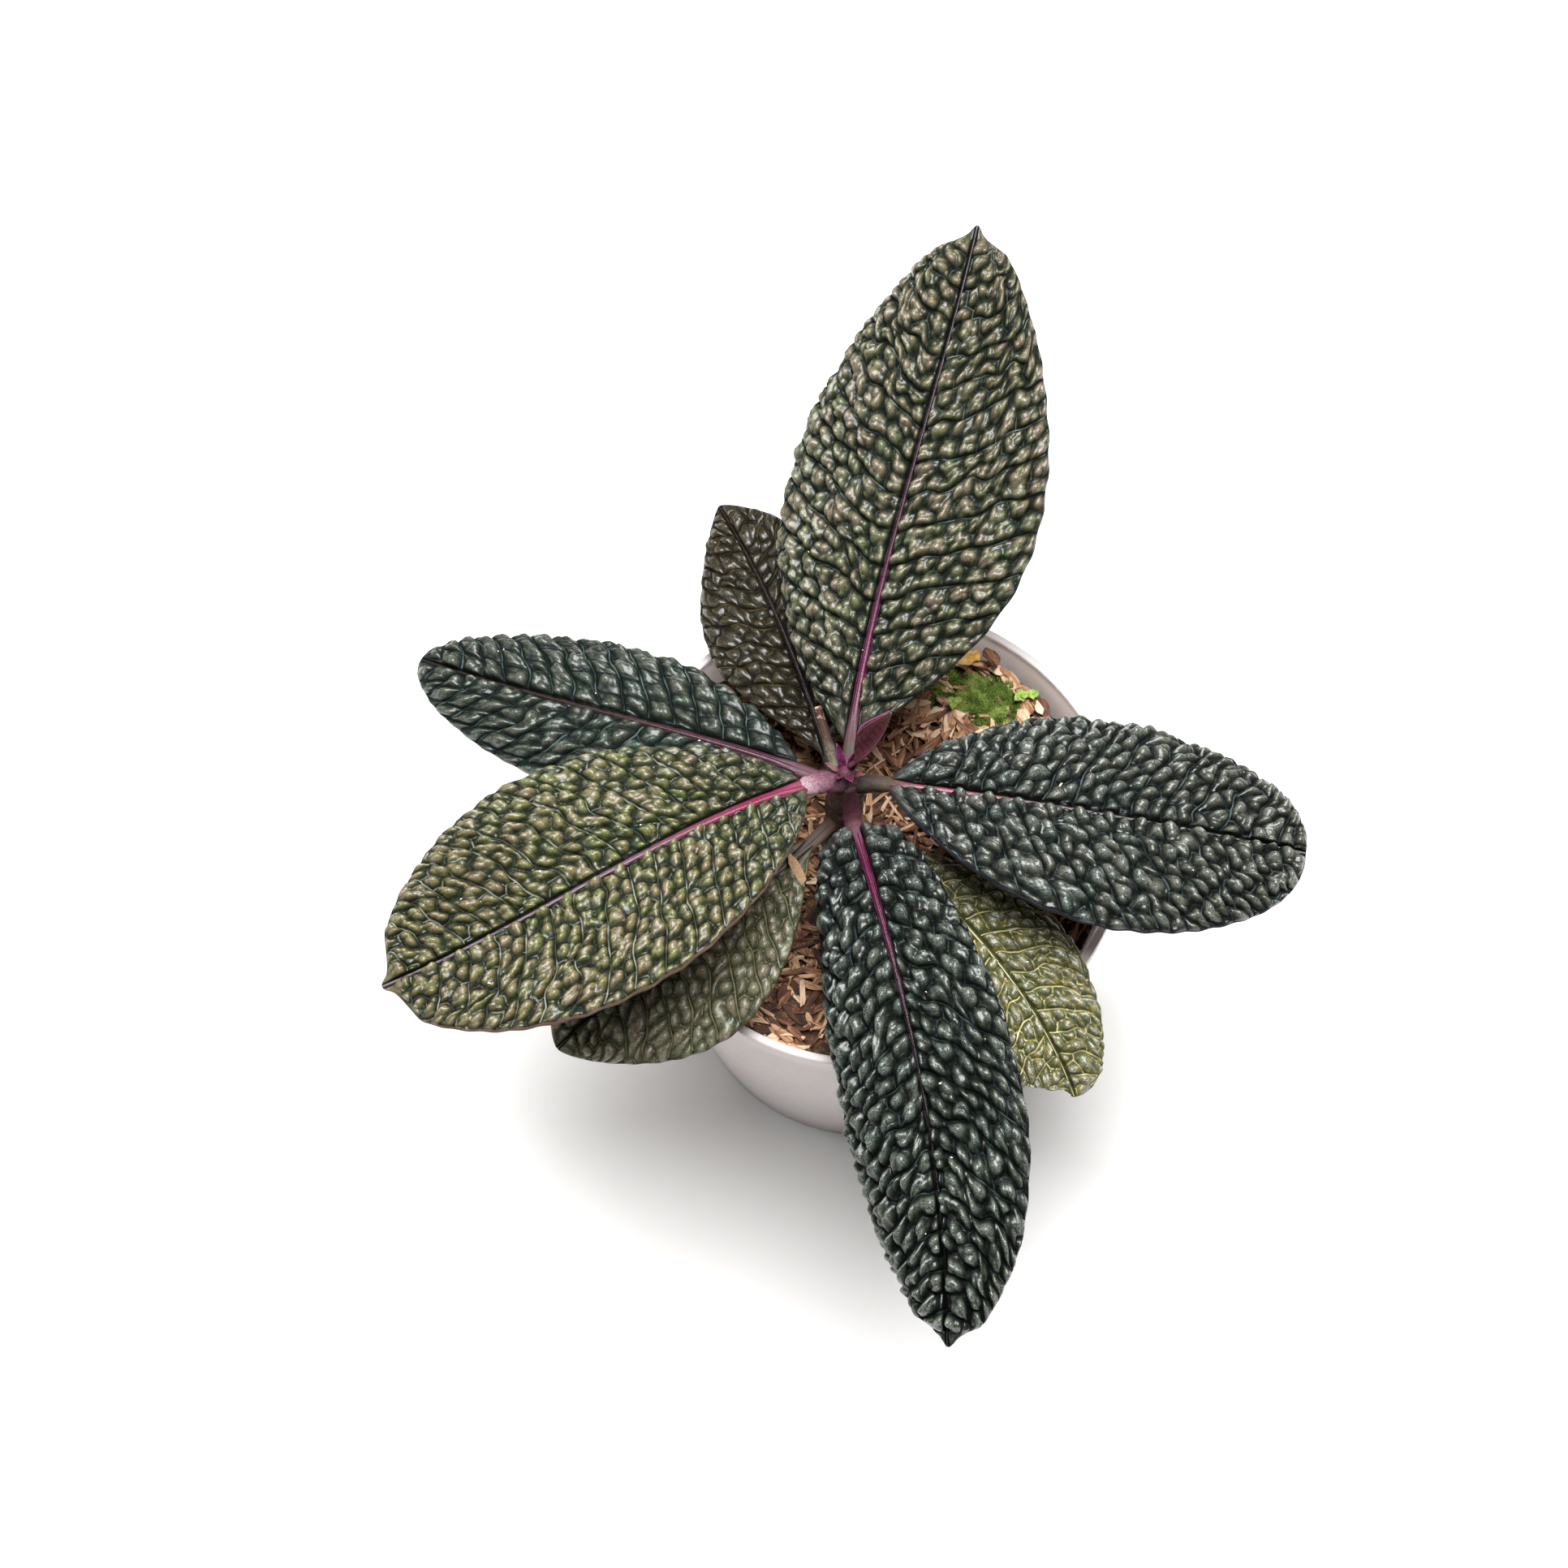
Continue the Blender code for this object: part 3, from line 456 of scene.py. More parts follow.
def pillowRelief(leaf, key, side, rows, flat):
    # distances on the blade laid flat: a along a side vein, band from one to the next
    x, y = flat.x, flat.place * (leaf["length"] - leaf["petiole"])
    runX, runY = np.gradient(x, axis=1), np.gradient(y, axis=1)
    run = np.hypot(runX, runY) + 1e-9
    walked = np.cumsum(run, 1)
    a = walked - walked[:, leafBuild["ribColumns"], None]
    stepX = np.gradient(x, rows, axis=0) / leaf["veins"]
    stepY = np.gradient(y, rows, axis=0) / leaf["veins"]
    band = np.abs(stepX * runY - stepY * runX) / run
    band = np.maximum(band, 0.2)
    interval = np.minimum(np.floor(flat.phase + 1e-9), leaf["veins"] - 1).astype(int)
    f = flat.phase - interval

    # pillows and lobes between the veins
    net, toNet, tint = pillowNet(leaf, side, key, a, f, band, interval)
    lobe, crease, lobeTint = lobes(leaf, side, key, a, f * band, interval)
    shoulder = np.clip(0.4 * band, 0.4, leaf["shoulder"])
    pillow = net
    for vein, far in ((interval, f), (interval + 1, 1 - f)):
        # a side vein's groove is shallow in places, so that pillows run across it
        shallow = np.sin(0.9 * a + 1.7 * vein) * np.sin(0.41 * a + 2.9 * vein + key)
        depth = 1 - leaf["broken"] * easeIn(shallow, 0, 0.6)
        pillow = pillow * (1 - depth * (1 - bulge(far * band, shoulder)))
    (byRib, ribRound), (byMargin, marginRound) = leafBuild["byRib"], leafBuild["byMargin"]
    pillow *= bulge(a + byRib, ribRound) * bulge(flat.toMargin + byMargin, marginRound)
    pillow = (0.8 + 0.2 * tint) * pillow ** leafBuild["fullness"] * (1 - leaf["wrinkle"] * (1 - lobe))

    # how full they are: not on the petiole, less at the margin and the tip
    toTip = np.clip(leafBuild["tipFade"] * flat.width / leaf["halfWidth"], 0, 1)
    fullness = (flat.row > 0) * easeIn(x - flat.rib, 0, 0.6)
    fadeIn = fullness * easeIn(a, 0.0, 0.7)
    crest = np.clip(pillow / np.quantile(pillow, 0.96), 0, 1) * toTip + 0.7 * (1 - toTip)
    fullness = fullness * toTip
    atMargin, inside = leafBuild["marginRelief"]
    fullness = fullness * (atMargin + (1 - atMargin) * easeIn(flat.toMargin, 0, inside))
    height = leaf["puff"] * fullness * pillow
    wave = leafBuild["marginWave"] * leaf["puff"] / 1.5 * np.sin(leafBuild["waveTurn"] * flat.phase)
    height = height + fullness * wave * flat.share ** 2
    return SimpleNamespace(height=height, fullness=fullness, crest=crest * fadeIn, tint=lobeTint,
                           toVein=np.minimum(f, 1 - f) * band, toNet=toNet, fold=(1 - crease) * fadeIn,
                           unmarked=netBuild["unmarked"] * (1 - fadeIn))


def crossSection(leaf, flat, relief):
    # how far the upper face and the underside lie from the blade's own surface
    ribShare = flat.x / np.maximum(flat.rib, 1e-6)
    ridge = leafBuild["ribRound"] * flat.rib * np.clip(1 - ribShare ** 2, 0, 1) ** 0.5
    thick = leaf.get("petioleThickness", leafBuild["petioleThickness"])
    roundness = np.sqrt(np.clip(1 - flat.share ** 2, 0, 1))
    above, under = leafBuild["petioleShare"]
    top = relief.height + ridge * (1 - flat.stalk) + above * thick * roundness * flat.stalk

    # a thin blade with its veins, thicker along the midrib, and round along the petiole
    atPlace = np.clip(flat.place, 0, 1)
    ribThick = leafBuild["ribThickness"]
    ribThick = ribThick + (thick - ribThick) * np.clip(1 - atPlace / leafBuild["petioleFade"], 0, 1)
    ribThick = ribThick * (1 - leafBuild["ribThinning"] * atPlace)
    edge, thicker = leafBuild["edgeThickness"], leafBuild["bladeThickness"] - leafBuild["edgeThickness"]
    blade = edge + thicker * easeIn(flat.toMargin, 0, leafBuild["edgeBand"])
    veinRidge = sum(high * np.exp(-(far / wide) ** 2) for far, (high, wide) in
                    ((relief.toVein, leafBuild["sideRidge"]), (relief.toNet, leafBuild["netRidge"])))
    blade = blade + veinRidge * relief.fullness * easeIn(flat.toMargin, 0.2, 3) * min(1, leaf["puff"])
    section = blade + np.maximum(ribThick - blade, 0) * np.exp(-(flat.x / 1.5 / flat.rib) ** 2)
    section = section * (1 - flat.stalk) + (under * thick * roundness + 0.1) * flat.stalk
    # the underside follows the lowest of the relief round each point, so that the two never meet
    lowest = np.minimum.reduce([np.roll(relief.height, (i, j), (0, 1))
                                for i in (-1, 0, 1) for j in (-1, 0, 1)])
    return top, lowest * 0.9 - section, ribShare


def halfBlade(leaf, key, side, rows, spine):
    # one half in space: points of the upper face, of the underside, and their marks
    flat = layRows(leaf, key, side, rows)
    relief = pillowRelief(leaf, key, side, rows, flat)
    top, below, ribShare = crossSection(leaf, flat, relief)
    span = np.where(flat.row > 0, leaf["length"] - leaf["petiole"], leaf["petiole"])
    distance = leaf["petiole"] + flat.place * span
    along, middle, right, up = spine
    middle, right, up = (np.stack([np.interp(distance, along, line[:, axis]) for axis in range(3)], -1)
                         for line in (middle, right, up))
    sideways, lift, normalRight, normalUp = acrossTheFold(leaf, side, flat.share, flat.width)
    base = middle + right * sideways[..., None] + up * lift[..., None]
    normal = right * normalRight[..., None] + up * normalUp[..., None]
    offVeins = relief.unmarked + netBuild["unmarked"] * (flat.toMargin < 0.6)
    marks = np.stack([relief.crest, relief.toVein + offVeins, relief.toNet + relief.unmarked, relief.fold,
                      relief.tint, flat.place, ribShare, flat.toMargin], -1)
    return base + normal * top[..., None], base + normal * below[..., None], marks


def quadsOver(grid):
    # a face for each four neighbours in a grid of point numbers
    corners = [grid[:-1, :-1], grid[:-1, 1:], grid[1:, 1:], grid[1:, :-1]]
    return np.stack(corners, -1).reshape(-1, 4).tolist()


def leafMesh(name, leaf, key):
    # the upper face in full, the underside with every other row and column, and one point at the tip
    rows = leafGrid(leaf)
    spine = midribLine(leaf)
    left = halfBlade(leaf, key, -1, rows, spine)
    right = halfBlade(leaf, key, 1, rows, spine)
    top, bottom, marks = (np.concatenate([l[:, :0:-1], r], 1) for l, r in zip(left, right))
    across, last = top.shape[1], top.shape[0] - 1
    points = [top[:last].reshape(-1, 3), bottom[:last:2, ::2].reshape(-1, 3),
              ((top[last, across // 2] + bottom[last, across // 2]) / 2)[None]]
    values = [marks[:last].reshape(-1, 8), marks[:last:2, ::2].reshape(-1, 8), marks[last, :1]]
    under = np.concatenate([np.zeros(len(points[0])), np.ones(len(points[1])), [0.5]])
    points, values = np.concatenate(points), np.concatenate(values)

    upper = np.arange(last * across).reshape(last, across)
    lowerCount = (across + 1) // 2
    lower = len(upper.ravel()) + np.arange(last // 2 * lowerCount).reshape(last // 2, lowerCount)
    tip = len(points) - 1
    faces = quadsOver(upper)
    faces += [[first, *rest[::-1]] for first, *rest in quadsOver(lower)]
    faces += [(upper[-1, c], upper[-1, c + 1], tip) for c in range(across - 1)]
    faces += [(lower[-1, c + 1], lower[-1, c], tip) for c in range(lowerCount - 1)]
    for edge, lowEdge, flip in ((upper[:, 0], lower[:, 0], False), (upper[:, -1], lower[:, -1], True)):
        edge, lowEdge = [*edge, tip], [*lowEdge, tip]
        for k in range(last // 2):
            strip = [(edge[2 * k], edge[2 * k + 1], lowEdge[k]),
                     (edge[2 * k + 1], edge[2 * k + 2], lowEdge[k + 1], lowEdge[k])]
            if lowEdge[k + 1] == tip:
                strip[1] = (edge[2 * k + 1], tip, lowEdge[k])
            faces += [face[::-1] if flip else face for face in strip]
    faces.append([*upper[0][::-1], *lower[0]])
    faces = [[int(v) for v in face] for face in faces]
    mesh = meshOf(name, points, faces)
    # the marks go to the material three at a time, in the order that it reads them
    packed = {"leafForm": values[:, [0, 7, 4]], "leafVeins": values[:, 1:4],
              "leafPlace": np.column_stack([values[:, 5], values[:, 6], under])}
    for title, data in packed.items():
        attribute = mesh.attributes.new(title, 'FLOAT_VECTOR', 'POINT')
        attribute.data.foreach_set("vector", data.astype(np.float32).ravel())
    return mesh


def leafMasks(tree, look):
    # what the leaf's marks and a few noises say about each spot
    form, veins, places = (
        addNode(tree, "SeparateXYZ", {0: addNode(tree, "Attribute", attribute_name=title).outputs["Vector"]})
        for title in ("leafForm", "leafVeins", "leafPlace"))
    crest, toMargin, tint = form.outputs
    toVein, toNet, fold = veins.outputs
    place, ribShare, under = places.outputs
    where = addNode(tree, "TexCoord").outputs["Object"]
    # patches, vein lines that come and go, flecks, and the skin's grain, which is drawn far
    # coarser than its real cells so that it shows
    clouds, worn, flecks, grain = (
        addNode(tree, "TexNoise", {"Vector": where, "Scale": 1 / (size * mm), "Detail": detail}).outputs[0]
        for size, detail in ((7, 3.0), (5, 1.0), (1.6, 3.0), (0.34, 3.0)))
    mottle = addNode(tree, "Math", {0: tint, 1: 0.25, 2: clouds}, operation='MULTIPLY_ADD').outputs[0]

    # each mask runs from its third to its fourth number as its value goes from the first to the second
    masks = {
        "brown": (mottle, 0.4, 0.85, 0, 1), "shaded": (place, 0.35, 0.0, 0, 0.7),
        "aged": (place, 0.4, 1.0, 0, look.get("tipBrown", 0)), "old": (clouds, 0.4, 0.7, 0, 1),
        # crown lets the tops' own colour show over the painted shade of the flanks, the next one lays the wax
        # bloom and a painted highlight on the tops, and hollow paints shade down into the grooves
        "crown": (crest, 0.35, 0.95, 0, 1), "waxyTopsHighlight": (crest, 0.62, 1.0, 0, look.get("waxAndHighlightShare", 0.35)),
        "hollow": (crest, 0.55, 0.1, 0, 1), "pit": (crest, 0.35, 0.08, 0, 1),
        "blotch": (flecks, 0.5, 0.68, 0, 0.5), "speck": (grain, 0.36, 0.74, 0, 1),
        "sheen": (grain, 0.3, 0.7, *look.get("gloss", (0.25, 0.4))),
        "worn": (worn, 0.45, 0.65, look.get("veinsLeft", 0.15), 1),
        "sideVein": (toVein, 0.26, 0.0, 0, look["sideVein"]), "byVein": (toVein, 0.6, 0.2, 0, 1),
        "netVein": (toNet, 0.22, 0.0, 0, look["netVein"]), "byNet": (toNet, 0.5, 0.15, 0, 1),
        "rim": (toMargin, 0.5, 0.1, 0, 0.9), "rib": (ribShare, 1.2, 0.9, 0, 1),
        "along": (place, -0.15, 1.0, 0, 1), "foot": (place, 0.018, -0.02, 0, 1),
        "scurfy": (place, 0.1, 0.0, 0, 0.3)}
    for key, (value, *limits) in masks.items():
        links = {0: value, **{socket + 1: float(limit) for socket, limit in enumerate(limits)}}
        masks[key] = addNode(tree, "MapRange", links, interpolation_type='SMOOTHSTEP').outputs[0]
    masks.update(under=under, grain=grain, fold=fold)

    # some of them count only where another does, and the petiole is all midrib
    for key, other, how in (("speck", masks["waxyTopsHighlight"], 'MULTIPLY'), ("fold", 0.65, 'MULTIPLY'),
                            ("sideVein", masks["worn"], 'MULTIPLY'), ("netVein", masks["worn"], 'MULTIPLY'),
                            ("rib", masks["foot"], 'MAXIMUM')):
        masks[key] = addNode(tree, "Math", {0: masks[key], 1: other}, operation=how).outputs[0]
    # the ditches: grooves, net and pits, but not the midrib
    ditch = masks["byVein"]
    for mask, how in (("byNet", 'MAXIMUM'), ("pit", 'MAXIMUM'), ("rib", 'SUBTRACT')):
        ditch = addNode(tree, "Math", {0: ditch, 1: masks[mask]}, operation=how, use_clamp=True).outputs[0]
    masks["ditch"] = ditch
    return masks


def waxyBlade(name, look):
    # A living leaf blade under a waxy cuticle: a satin skin with a soft grey shine on
    # each pillow, partly a painted highlight, painted shade where it dips to a vein, and a fine grain that
    # breaks the shine up.
    material, tree, shader = newMaterial(name, {"IOR": 1.5, "Metallic": 0.0})
    masks = leafMasks(tree, look)
    stops = list(zip((0.0, 0.14, 0.5, 1.0), look["rib"]))
    ribColour = addNode(tree, "ValToRGB", {0: masks["along"]}, stops=stops).outputs[0]

    # painted one over the other: the pillows' tops, darkened to painted shade near the stem, the underside,
    # and then the whole leaf, from painted shade on the flanks up to the tops
    def painted(colour, *coats):
        for mask, paint in coats:
            if paint:
                mixed = addNode(tree, "Mix", {0: masks[mask], 6: colour, 7: paint}, data_type='RGBA')
                colour = mixed.outputs[2]
        return colour

    crown = painted(look["crest"], ("brown", look["crestAlt"]), ("aged", look["crestAlt"]),
                    ("shaded", look["paintedShade"]))
    underside = painted(look["under"], ("old", look.get("underAlt", "5c3a44")))
    # from painted shade: the tops, blotches, wax bloom with a painted highlight, painted shade down in the
    # hollows and the creases between lobes, then veins, margin, midrib and underside
    colour = painted(look["paintedShade"], ("crown", crown), ("blotch", look.get("blotch")), ("speck", look["waxBloomAndHighlight"]),
                     ("hollow", look["grooveShade"]), ("fold", look["grooveShade"]), ("netVein", look["vein"]),
                     ("sideVein", look["vein"]), ("rim", look["rim"]), ("rib", ribColour),
                     ("under", underside))

    # light hardly gets down into the folds, so they give next to no shine
    shine = addNode(tree, "MapRange", {0: masks["ditch"], 3: 0.5, 4: 0.05}).outputs[0]
    matt = addNode(tree, "Math", {0: masks["ditch"], 1: 0.4, 2: masks["sheen"]}, operation='MULTIPLY_ADD')
    matt = addNode(tree, "Math", {0: matt.outputs[0], 1: masks["scurfy"]}, operation='ADD').outputs[0]
    bump = addNode(tree, "Bump", {"Height": masks["grain"], "Strength": 0.35, "Distance": 0.12 * mm})
    fillSockets(shader, {"Base Color": colour, "Roughness": matt, "Specular IOR Level": shine,
                         "Normal": bump.outputs[0]})
    return material


for number, (name, leaf) in enumerate(leaves.items()):
    mesh = leafMesh(name, leaf, number)
    addPiece(name, mesh, waxyBlade(name + "Cuticle", leafLooks[name]), leaf["slot"], leaf["node"])
    print("leaf", name, "with", sum(len(face.vertices) - 2 for face in mesh.polygons), "triangles")


# Pot: the same sizes as its solid, with a rolled lip and a rounded foot

pot = dict(
    height=102, rimRadius=60, topRadius=59.1, baseRadius=44, wall=1.2, floor=1.6,
    lipHeight=4.5, lipRound=0.5, lipBead=0.45, lipStep=0.25, footRound=1.2, floorRound=1,
    outsideRings=(20, 45, 70, 90), insideRings=(98, 93, 70, 45, 20), sides=144,
    drainHoles=8, drainRadius=2, drainCircle=33, drainMargin=6, drillDepth=6,
    plastic="e6dfde", haze="d4cac8", hazeSize=22, dustSize=1.4)


def potWall(z):
    return pot["baseRadius"] + (pot["topRadius"] - pot["baseRadius"]) * z / pot["height"]


def arc(centreR, centreZ, radius, start, end, steps=5):
    turns = np.radians(np.linspace(start, end, steps))
    return [(centreR + radius * math.cos(t), centreZ + radius * math.sin(t)) for t in turns]


def turned(profile, sides):
    # a lathe: rings of points, one point at each end, and the faces between them
    turns = np.arange(sides) * math.tau / sides
    points, rings = [], []
    for number, (radius, z) in enumerate(profile):
        count = 1 if number in (0, len(profile) - 1) else sides
        rings.append([len(points) + k % count for k in range(sides)])
        points += [(radius * math.cos(t), radius * math.sin(t), z) for t in turns[:count]]
    faces = []
    for low, high in zip(rings, rings[1:]):
        for k in range(sides):
            after = (k + 1) % sides
            corners = [low[k], low[after], high[after], high[k]]
            faces.append(list(dict.fromkeys(corners)))              # a triangle at an end
    return points, faces


def milkyPlastic():
    # Polypropylene, thermoformed from thin natural sheet. The eye sees a satin, milky wall
    # that lets some light and the darkness of the bark behind it through.
    material, tree, shader = newMaterial("milkyPolypropylene", {
        "IOR": 1.49, "Metallic": 0.0, "Transmission Weight": 0.4})
    where = addNode(tree, "TexCoord").outputs["Object"]
    haze, dust = (
        addNode(tree, "TexNoise", {"Vector": where, "Scale": 1 / (size * mm), "Detail": detail}).outputs[0]
        for size, detail in ((pot["hazeSize"], 3.0), (pot["dustSize"], 2.0)))
    colour = addNode(tree, "Mix", {0: haze, 6: pot["plastic"], 7: pot["haze"]}, data_type='RGBA')
    rough = addNode(tree, "MapRange", {0: dust, 1: 0.3, 2: 0.7, 3: 0.38, 4: 0.56})
    bump = addNode(tree, "Bump", {"Height": haze, "Strength": 0.25, "Distance": 0.6 * mm})
    fillSockets(shader, {"Base Color": colour.outputs[2], "Roughness": rough.outputs[0],
                         "Normal": bump.outputs[0]})
    return material


def makePot():
    top, foot, wall, floor = pot["height"], pot["footRound"], pot["wall"], pot["floor"]
    lipRound, bead, floorRound = pot["lipRound"], pot["lipBead"], pot["floorRound"]
    lipFoot = top - pot["lipHeight"]
    # a ring on either side of the drain holes keeps the flat faces there small
    near, far = pot["drainCircle"] - pot["drainMargin"], pot["drainCircle"] + pot["drainMargin"]
    profile = [(0, 0), (near, 0), (far, 0)]
    profile += arc(pot["baseRadius"] - foot, foot, foot, -90, 0)
    profile += [(potWall(z), z) for z in pot["outsideRings"]]
    profile += [(potWall(lipFoot - 0.9), lipFoot - 0.9), (potWall(lipFoot) + pot["lipStep"], lipFoot - 0.3)]
    profile += arc(pot["rimRadius"] - bead, lipFoot + bead, bead, -60, 0, 4)
    profile += arc(pot["rimRadius"] - lipRound, top - lipRound, lipRound, 0, 90)
    profile += arc(potWall(top) - wall + lipRound, top - lipRound, lipRound, 90, 180)
    profile += [(potWall(z) - wall, z) for z in pot["insideRings"]]
    profile += arc(potWall(floor) - wall - floorRound, floor + floorRound, floorRound, 0, -90)
    profile += [(far, floor), (near, floor), (0, floor)]
    points, faces = turned(profile, pot["sides"])
    piece = addPiece("pot", meshOf("pot", points, faces), milkyPlastic(), "milky_plastic", "pot")
    drill = bmesh.new()
    for k in range(pot["drainHoles"]):
        turn = math.tau * (k + 0.5) / pot["drainHoles"]
        place = Vector((math.cos(turn), math.sin(turn), 0)) * pot["drainCircle"] * mm
        radius, depth = pot["drainRadius"] * mm, pot["drillDepth"] * mm
        bmesh.ops.create_cone(drill, cap_ends=True, segments=32, radius1=radius, radius2=radius,
                              depth=depth, matrix=Matrix.Translation(place))
    drillMesh = bpy.data.meshes.new("drill")
    drill.to_mesh(drillMesh)
    drill.free()
    cutter = bpy.data.objects.new("drill", drillMesh)
    scene.collection.objects.link(cutter)
    holes = piece.modifiers.new("holes", 'BOOLEAN')
    holes.object, holes.operation, holes.solver = cutter, 'DIFFERENCE', 'EXACT'
    cut = bpy.data.meshes.new_from_object(piece.evaluated_get(bpy.context.evaluated_depsgraph_get()))
    piece.modifiers.remove(holes)
    piece.data = cut
    bpy.data.objects.remove(cutter)


makePot()
print("pot turned")


# Substrate: packed bark fines, with chips and fibres dropped on them one by one

substrate = dict(
    level=92.5, foot=1.9, clearance=0.3, rings=70, sides=160,
    lump=1.3, lumpSpacing=9, crumb=0.5, crumbSpacing=2.2, sideRough=0.012, wallDip=1.2,
    mossPlace=(23, 36), mossRadius=12, mossHeight=5,
    mossPatches=((29.9, 34.2, 8.5), (16.5, 36.0, 4.5), (22.0, 41.5, 3.0)),      # place and radius
    stops=[(0.0, "1c120c"), (0.3, "3e291a"), (0.5, "6b4a30"), (0.7, "a07a54"), (1.0, "c8a67c")])


def substrateEdge(z):
    return potWall(z) - pot["wall"] - substrate["clearance"]


def groundHeight(x, y):
    lump = substrate["lump"] * noise.noise(Vector((x, y, 0)) / substrate["lumpSpacing"])
    far = math.hypot(x - substrate["mossPlace"][0], y - substrate["mossPlace"][1]) / substrate["mossRadius"]
    return substrate["level"] - 0.3 + lump + substrate["mossHeight"] * math.exp(-far ** 2)


def mossiness(x, y):
    # 1 in the middle of a patch of moss, 0 at its edge, less beyond
    return max(1 - math.hypot(x - patchX, y - patchY) / radius
               for patchX, patchY, radius in substrate["mossPatches"])


def attributeTone(mesh, tones):
    mesh.attributes.new("tone", 'FLOAT', 'POINT').data.foreach_set("value", np.asarray(tones, np.float32))


def attributeGrain(mesh, points):
    # where the pattern of the fibres is read; a chip's goes along with it, however it lies
    grain = mesh.attributes.new("grain", 'FLOAT_VECTOR', 'POINT')
    grain.data.foreach_set("vector", (np.asarray(points, np.float32) * mm).ravel())


def stainByTone(tree, shader, pattern, stops, strength, depth):
    # the pattern lightens and darkens the piece's own tone, which picks the colour, and roughens the skin
    mixed = addNode(tree, "Math", {0: pattern, 1: 1.3, 2: -0.65}, operation='MULTIPLY_ADD')
    tone = addNode(tree, "Attribute", attribute_name="tone")
    total = addNode(tree, "Math", {0: mixed.outputs[0], 1: tone.outputs["Fac"]}, operation='ADD')
    colour = addNode(tree, "ValToRGB", {0: total.outputs[0]}, stops=stops)
    bump = addNode(tree, "Bump", {"Height": pattern, "Strength": strength, "Distance": depth * mm})
    fillSockets(shader, {"Base Color": colour.outputs[0], "Normal": bump.outputs[0]})


def barkMaterial(name, stops, grainSize, roughness):
    # Pine bark and wood, shredded and weathered: matt, each chip its own brown,
    # with fine fibres along the grain.
    material, tree, shader = newMaterial(name, {"IOR": 1.5, "Metallic": 0.0, "Roughness": roughness})
    where = addNode(tree, "Attribute", attribute_name="grain").outputs["Vector"]
    fibre = addNode(tree, "TexNoise", {"Vector": where, "Scale": 1 / (grainSize * mm), "Detail": 4.0,
                                       "Roughness": 0.7})
    stainByTone(tree, shader, fibre.outputs[0], stops, 0.7, 0.4)
    return material


def makeGround():
    # the top is a height field; the side and foot show through the pot's wall
    level, foot = substrate["level"], substrate["foot"]
    top = substrateEdge(level)
    profile = [(top * (k / substrate["rings"]) ** 0.8, level) for k in range(substrate["rings"] + 1)]
    profile += [(substrateEdge(z), z) for z in np.linspace(88, 6, 30)]
    profile += [(substrateEdge(3) - 0.6, 3), (substrateEdge(2) - 2.5, foot), (0, foot)]
    points, faces = turned(profile, substrate["sides"])
    faces = [face[::-1] for face in faces]
    shaped, tones = [], []
    for x, y, z in points:
        radius = math.hypot(x, y)
        if z == level:
            z = groundHeight(x, y) - (substrate["wallDip"] if radius > top - 0.1 else 0)
            z += substrate["crumb"] * noise.noise(Vector((x, y, 3)) / substrate["crumbSpacing"])
            tone = 0.32 + 0.3 * noise.noise(Vector((x, y, 9)) / 3.0)
        else:
            hollow = max(0, noise.noise(Vector((x, y, z)) / 3.5)) if radius > 1 else 0
            rough = 1 - substrate["sideRough"] * hollow
            x, y = x * rough, y * rough
            tone = 0.4 + 0.5 * noise.noise(Vector((x, y, 2.2 * z)) / 7)
        shaped.append((x, y, z))
        tones.append(tone)
    mesh = meshOf("barkFines", shaped, faces)
    attributeTone(mesh, tones)
    attributeGrain(mesh, shaped)
    bark = barkMaterial("shreddedBarkFines", substrate["stops"], 1.3, 0.9)
    addPiece("barkFines", mesh, bark, "bark_substrate", "substrate")


def ringQuads(rings, sides):
    # corners of each face between rings of points: two on a ring, then two on the next
    for k in range(rings - 1):
        for s in range(sides):
            after = (s + 1) % sides
            yield k * sides + s, k * sides + after, (k + 1) * sides + after, (k + 1) * sides + s


def splinter(rng, length, width, thick):
    # a bent, tapering piece of bark or wood with torn ends, along X, standing on z = 0
    rings, sides = 5, 6
    bend, twist = rng.uniform(-0.12, 0.12) * length, rng.uniform(-0.5, 0.5)
    skew, lean = rng.uniform(-1, 1) * width, rng.uniform(-0.3, 0.3)
    points = []
    for k in range(rings):
        u = k / (rings - 1)
        narrow = (0.8 + 0.2 * math.sin(math.pi * u)) * rng.uniform(0.82, 1.12)
        if k in (0, rings - 1):
            narrow *= rng.choice((0.45, 0.7, 0.9, 1))
        for s in range(sides):
            turn = math.tau * (s + 0.5) / sides
            across, up = math.cos(turn), math.sin(turn)
            across = math.copysign(abs(across) ** 0.7, across) * width / 2 * narrow
            up = math.copysign(abs(up) ** 0.8, up) * thick / 2 * (0.6 + 0.4 * narrow) * rng.uniform(0.8, 1.15)
            turnBy = twist * (u - 0.5)
            x = (u - 0.5) * length + (skew * across / width if k in (0, rings - 1) else 0)
            y = across * math.cos(turnBy) - up * math.sin(turnBy) + bend * 4 * (u - 0.5) ** 2
            z = across * math.sin(turnBy) + up * math.cos(turnBy) + lean * across * 0.3 + thick / 2
            points.append((x, y, z))
    faces = [[a, d, c, b] for a, b, c, d in ringQuads(rings, sides)]
    faces += [list(range(sides)), list(range(rings * sides - 1, (rings - 1) * sides - 1, -1))]
    return np.array(points), faces


def placed(points, place, yaw, tilt=0.0, roll=0.0):
    turn = Euler((roll, tilt, yaw)).to_matrix()
    return points @ np.array(turn).T + np.array(place)


def joined(parts):
    # several (points, faces, tone) into one list of points, faces and tones
    points, faces, tones, first = [], [], [], 0
    for partPoints, partFaces, tone in parts:
        points.append(partPoints)
        faces += [[first + v for v in face] for face in partFaces]
        tones += [tone] * len(partPoints)
        first += len(partPoints)
    return np.concatenate(points), faces, tones


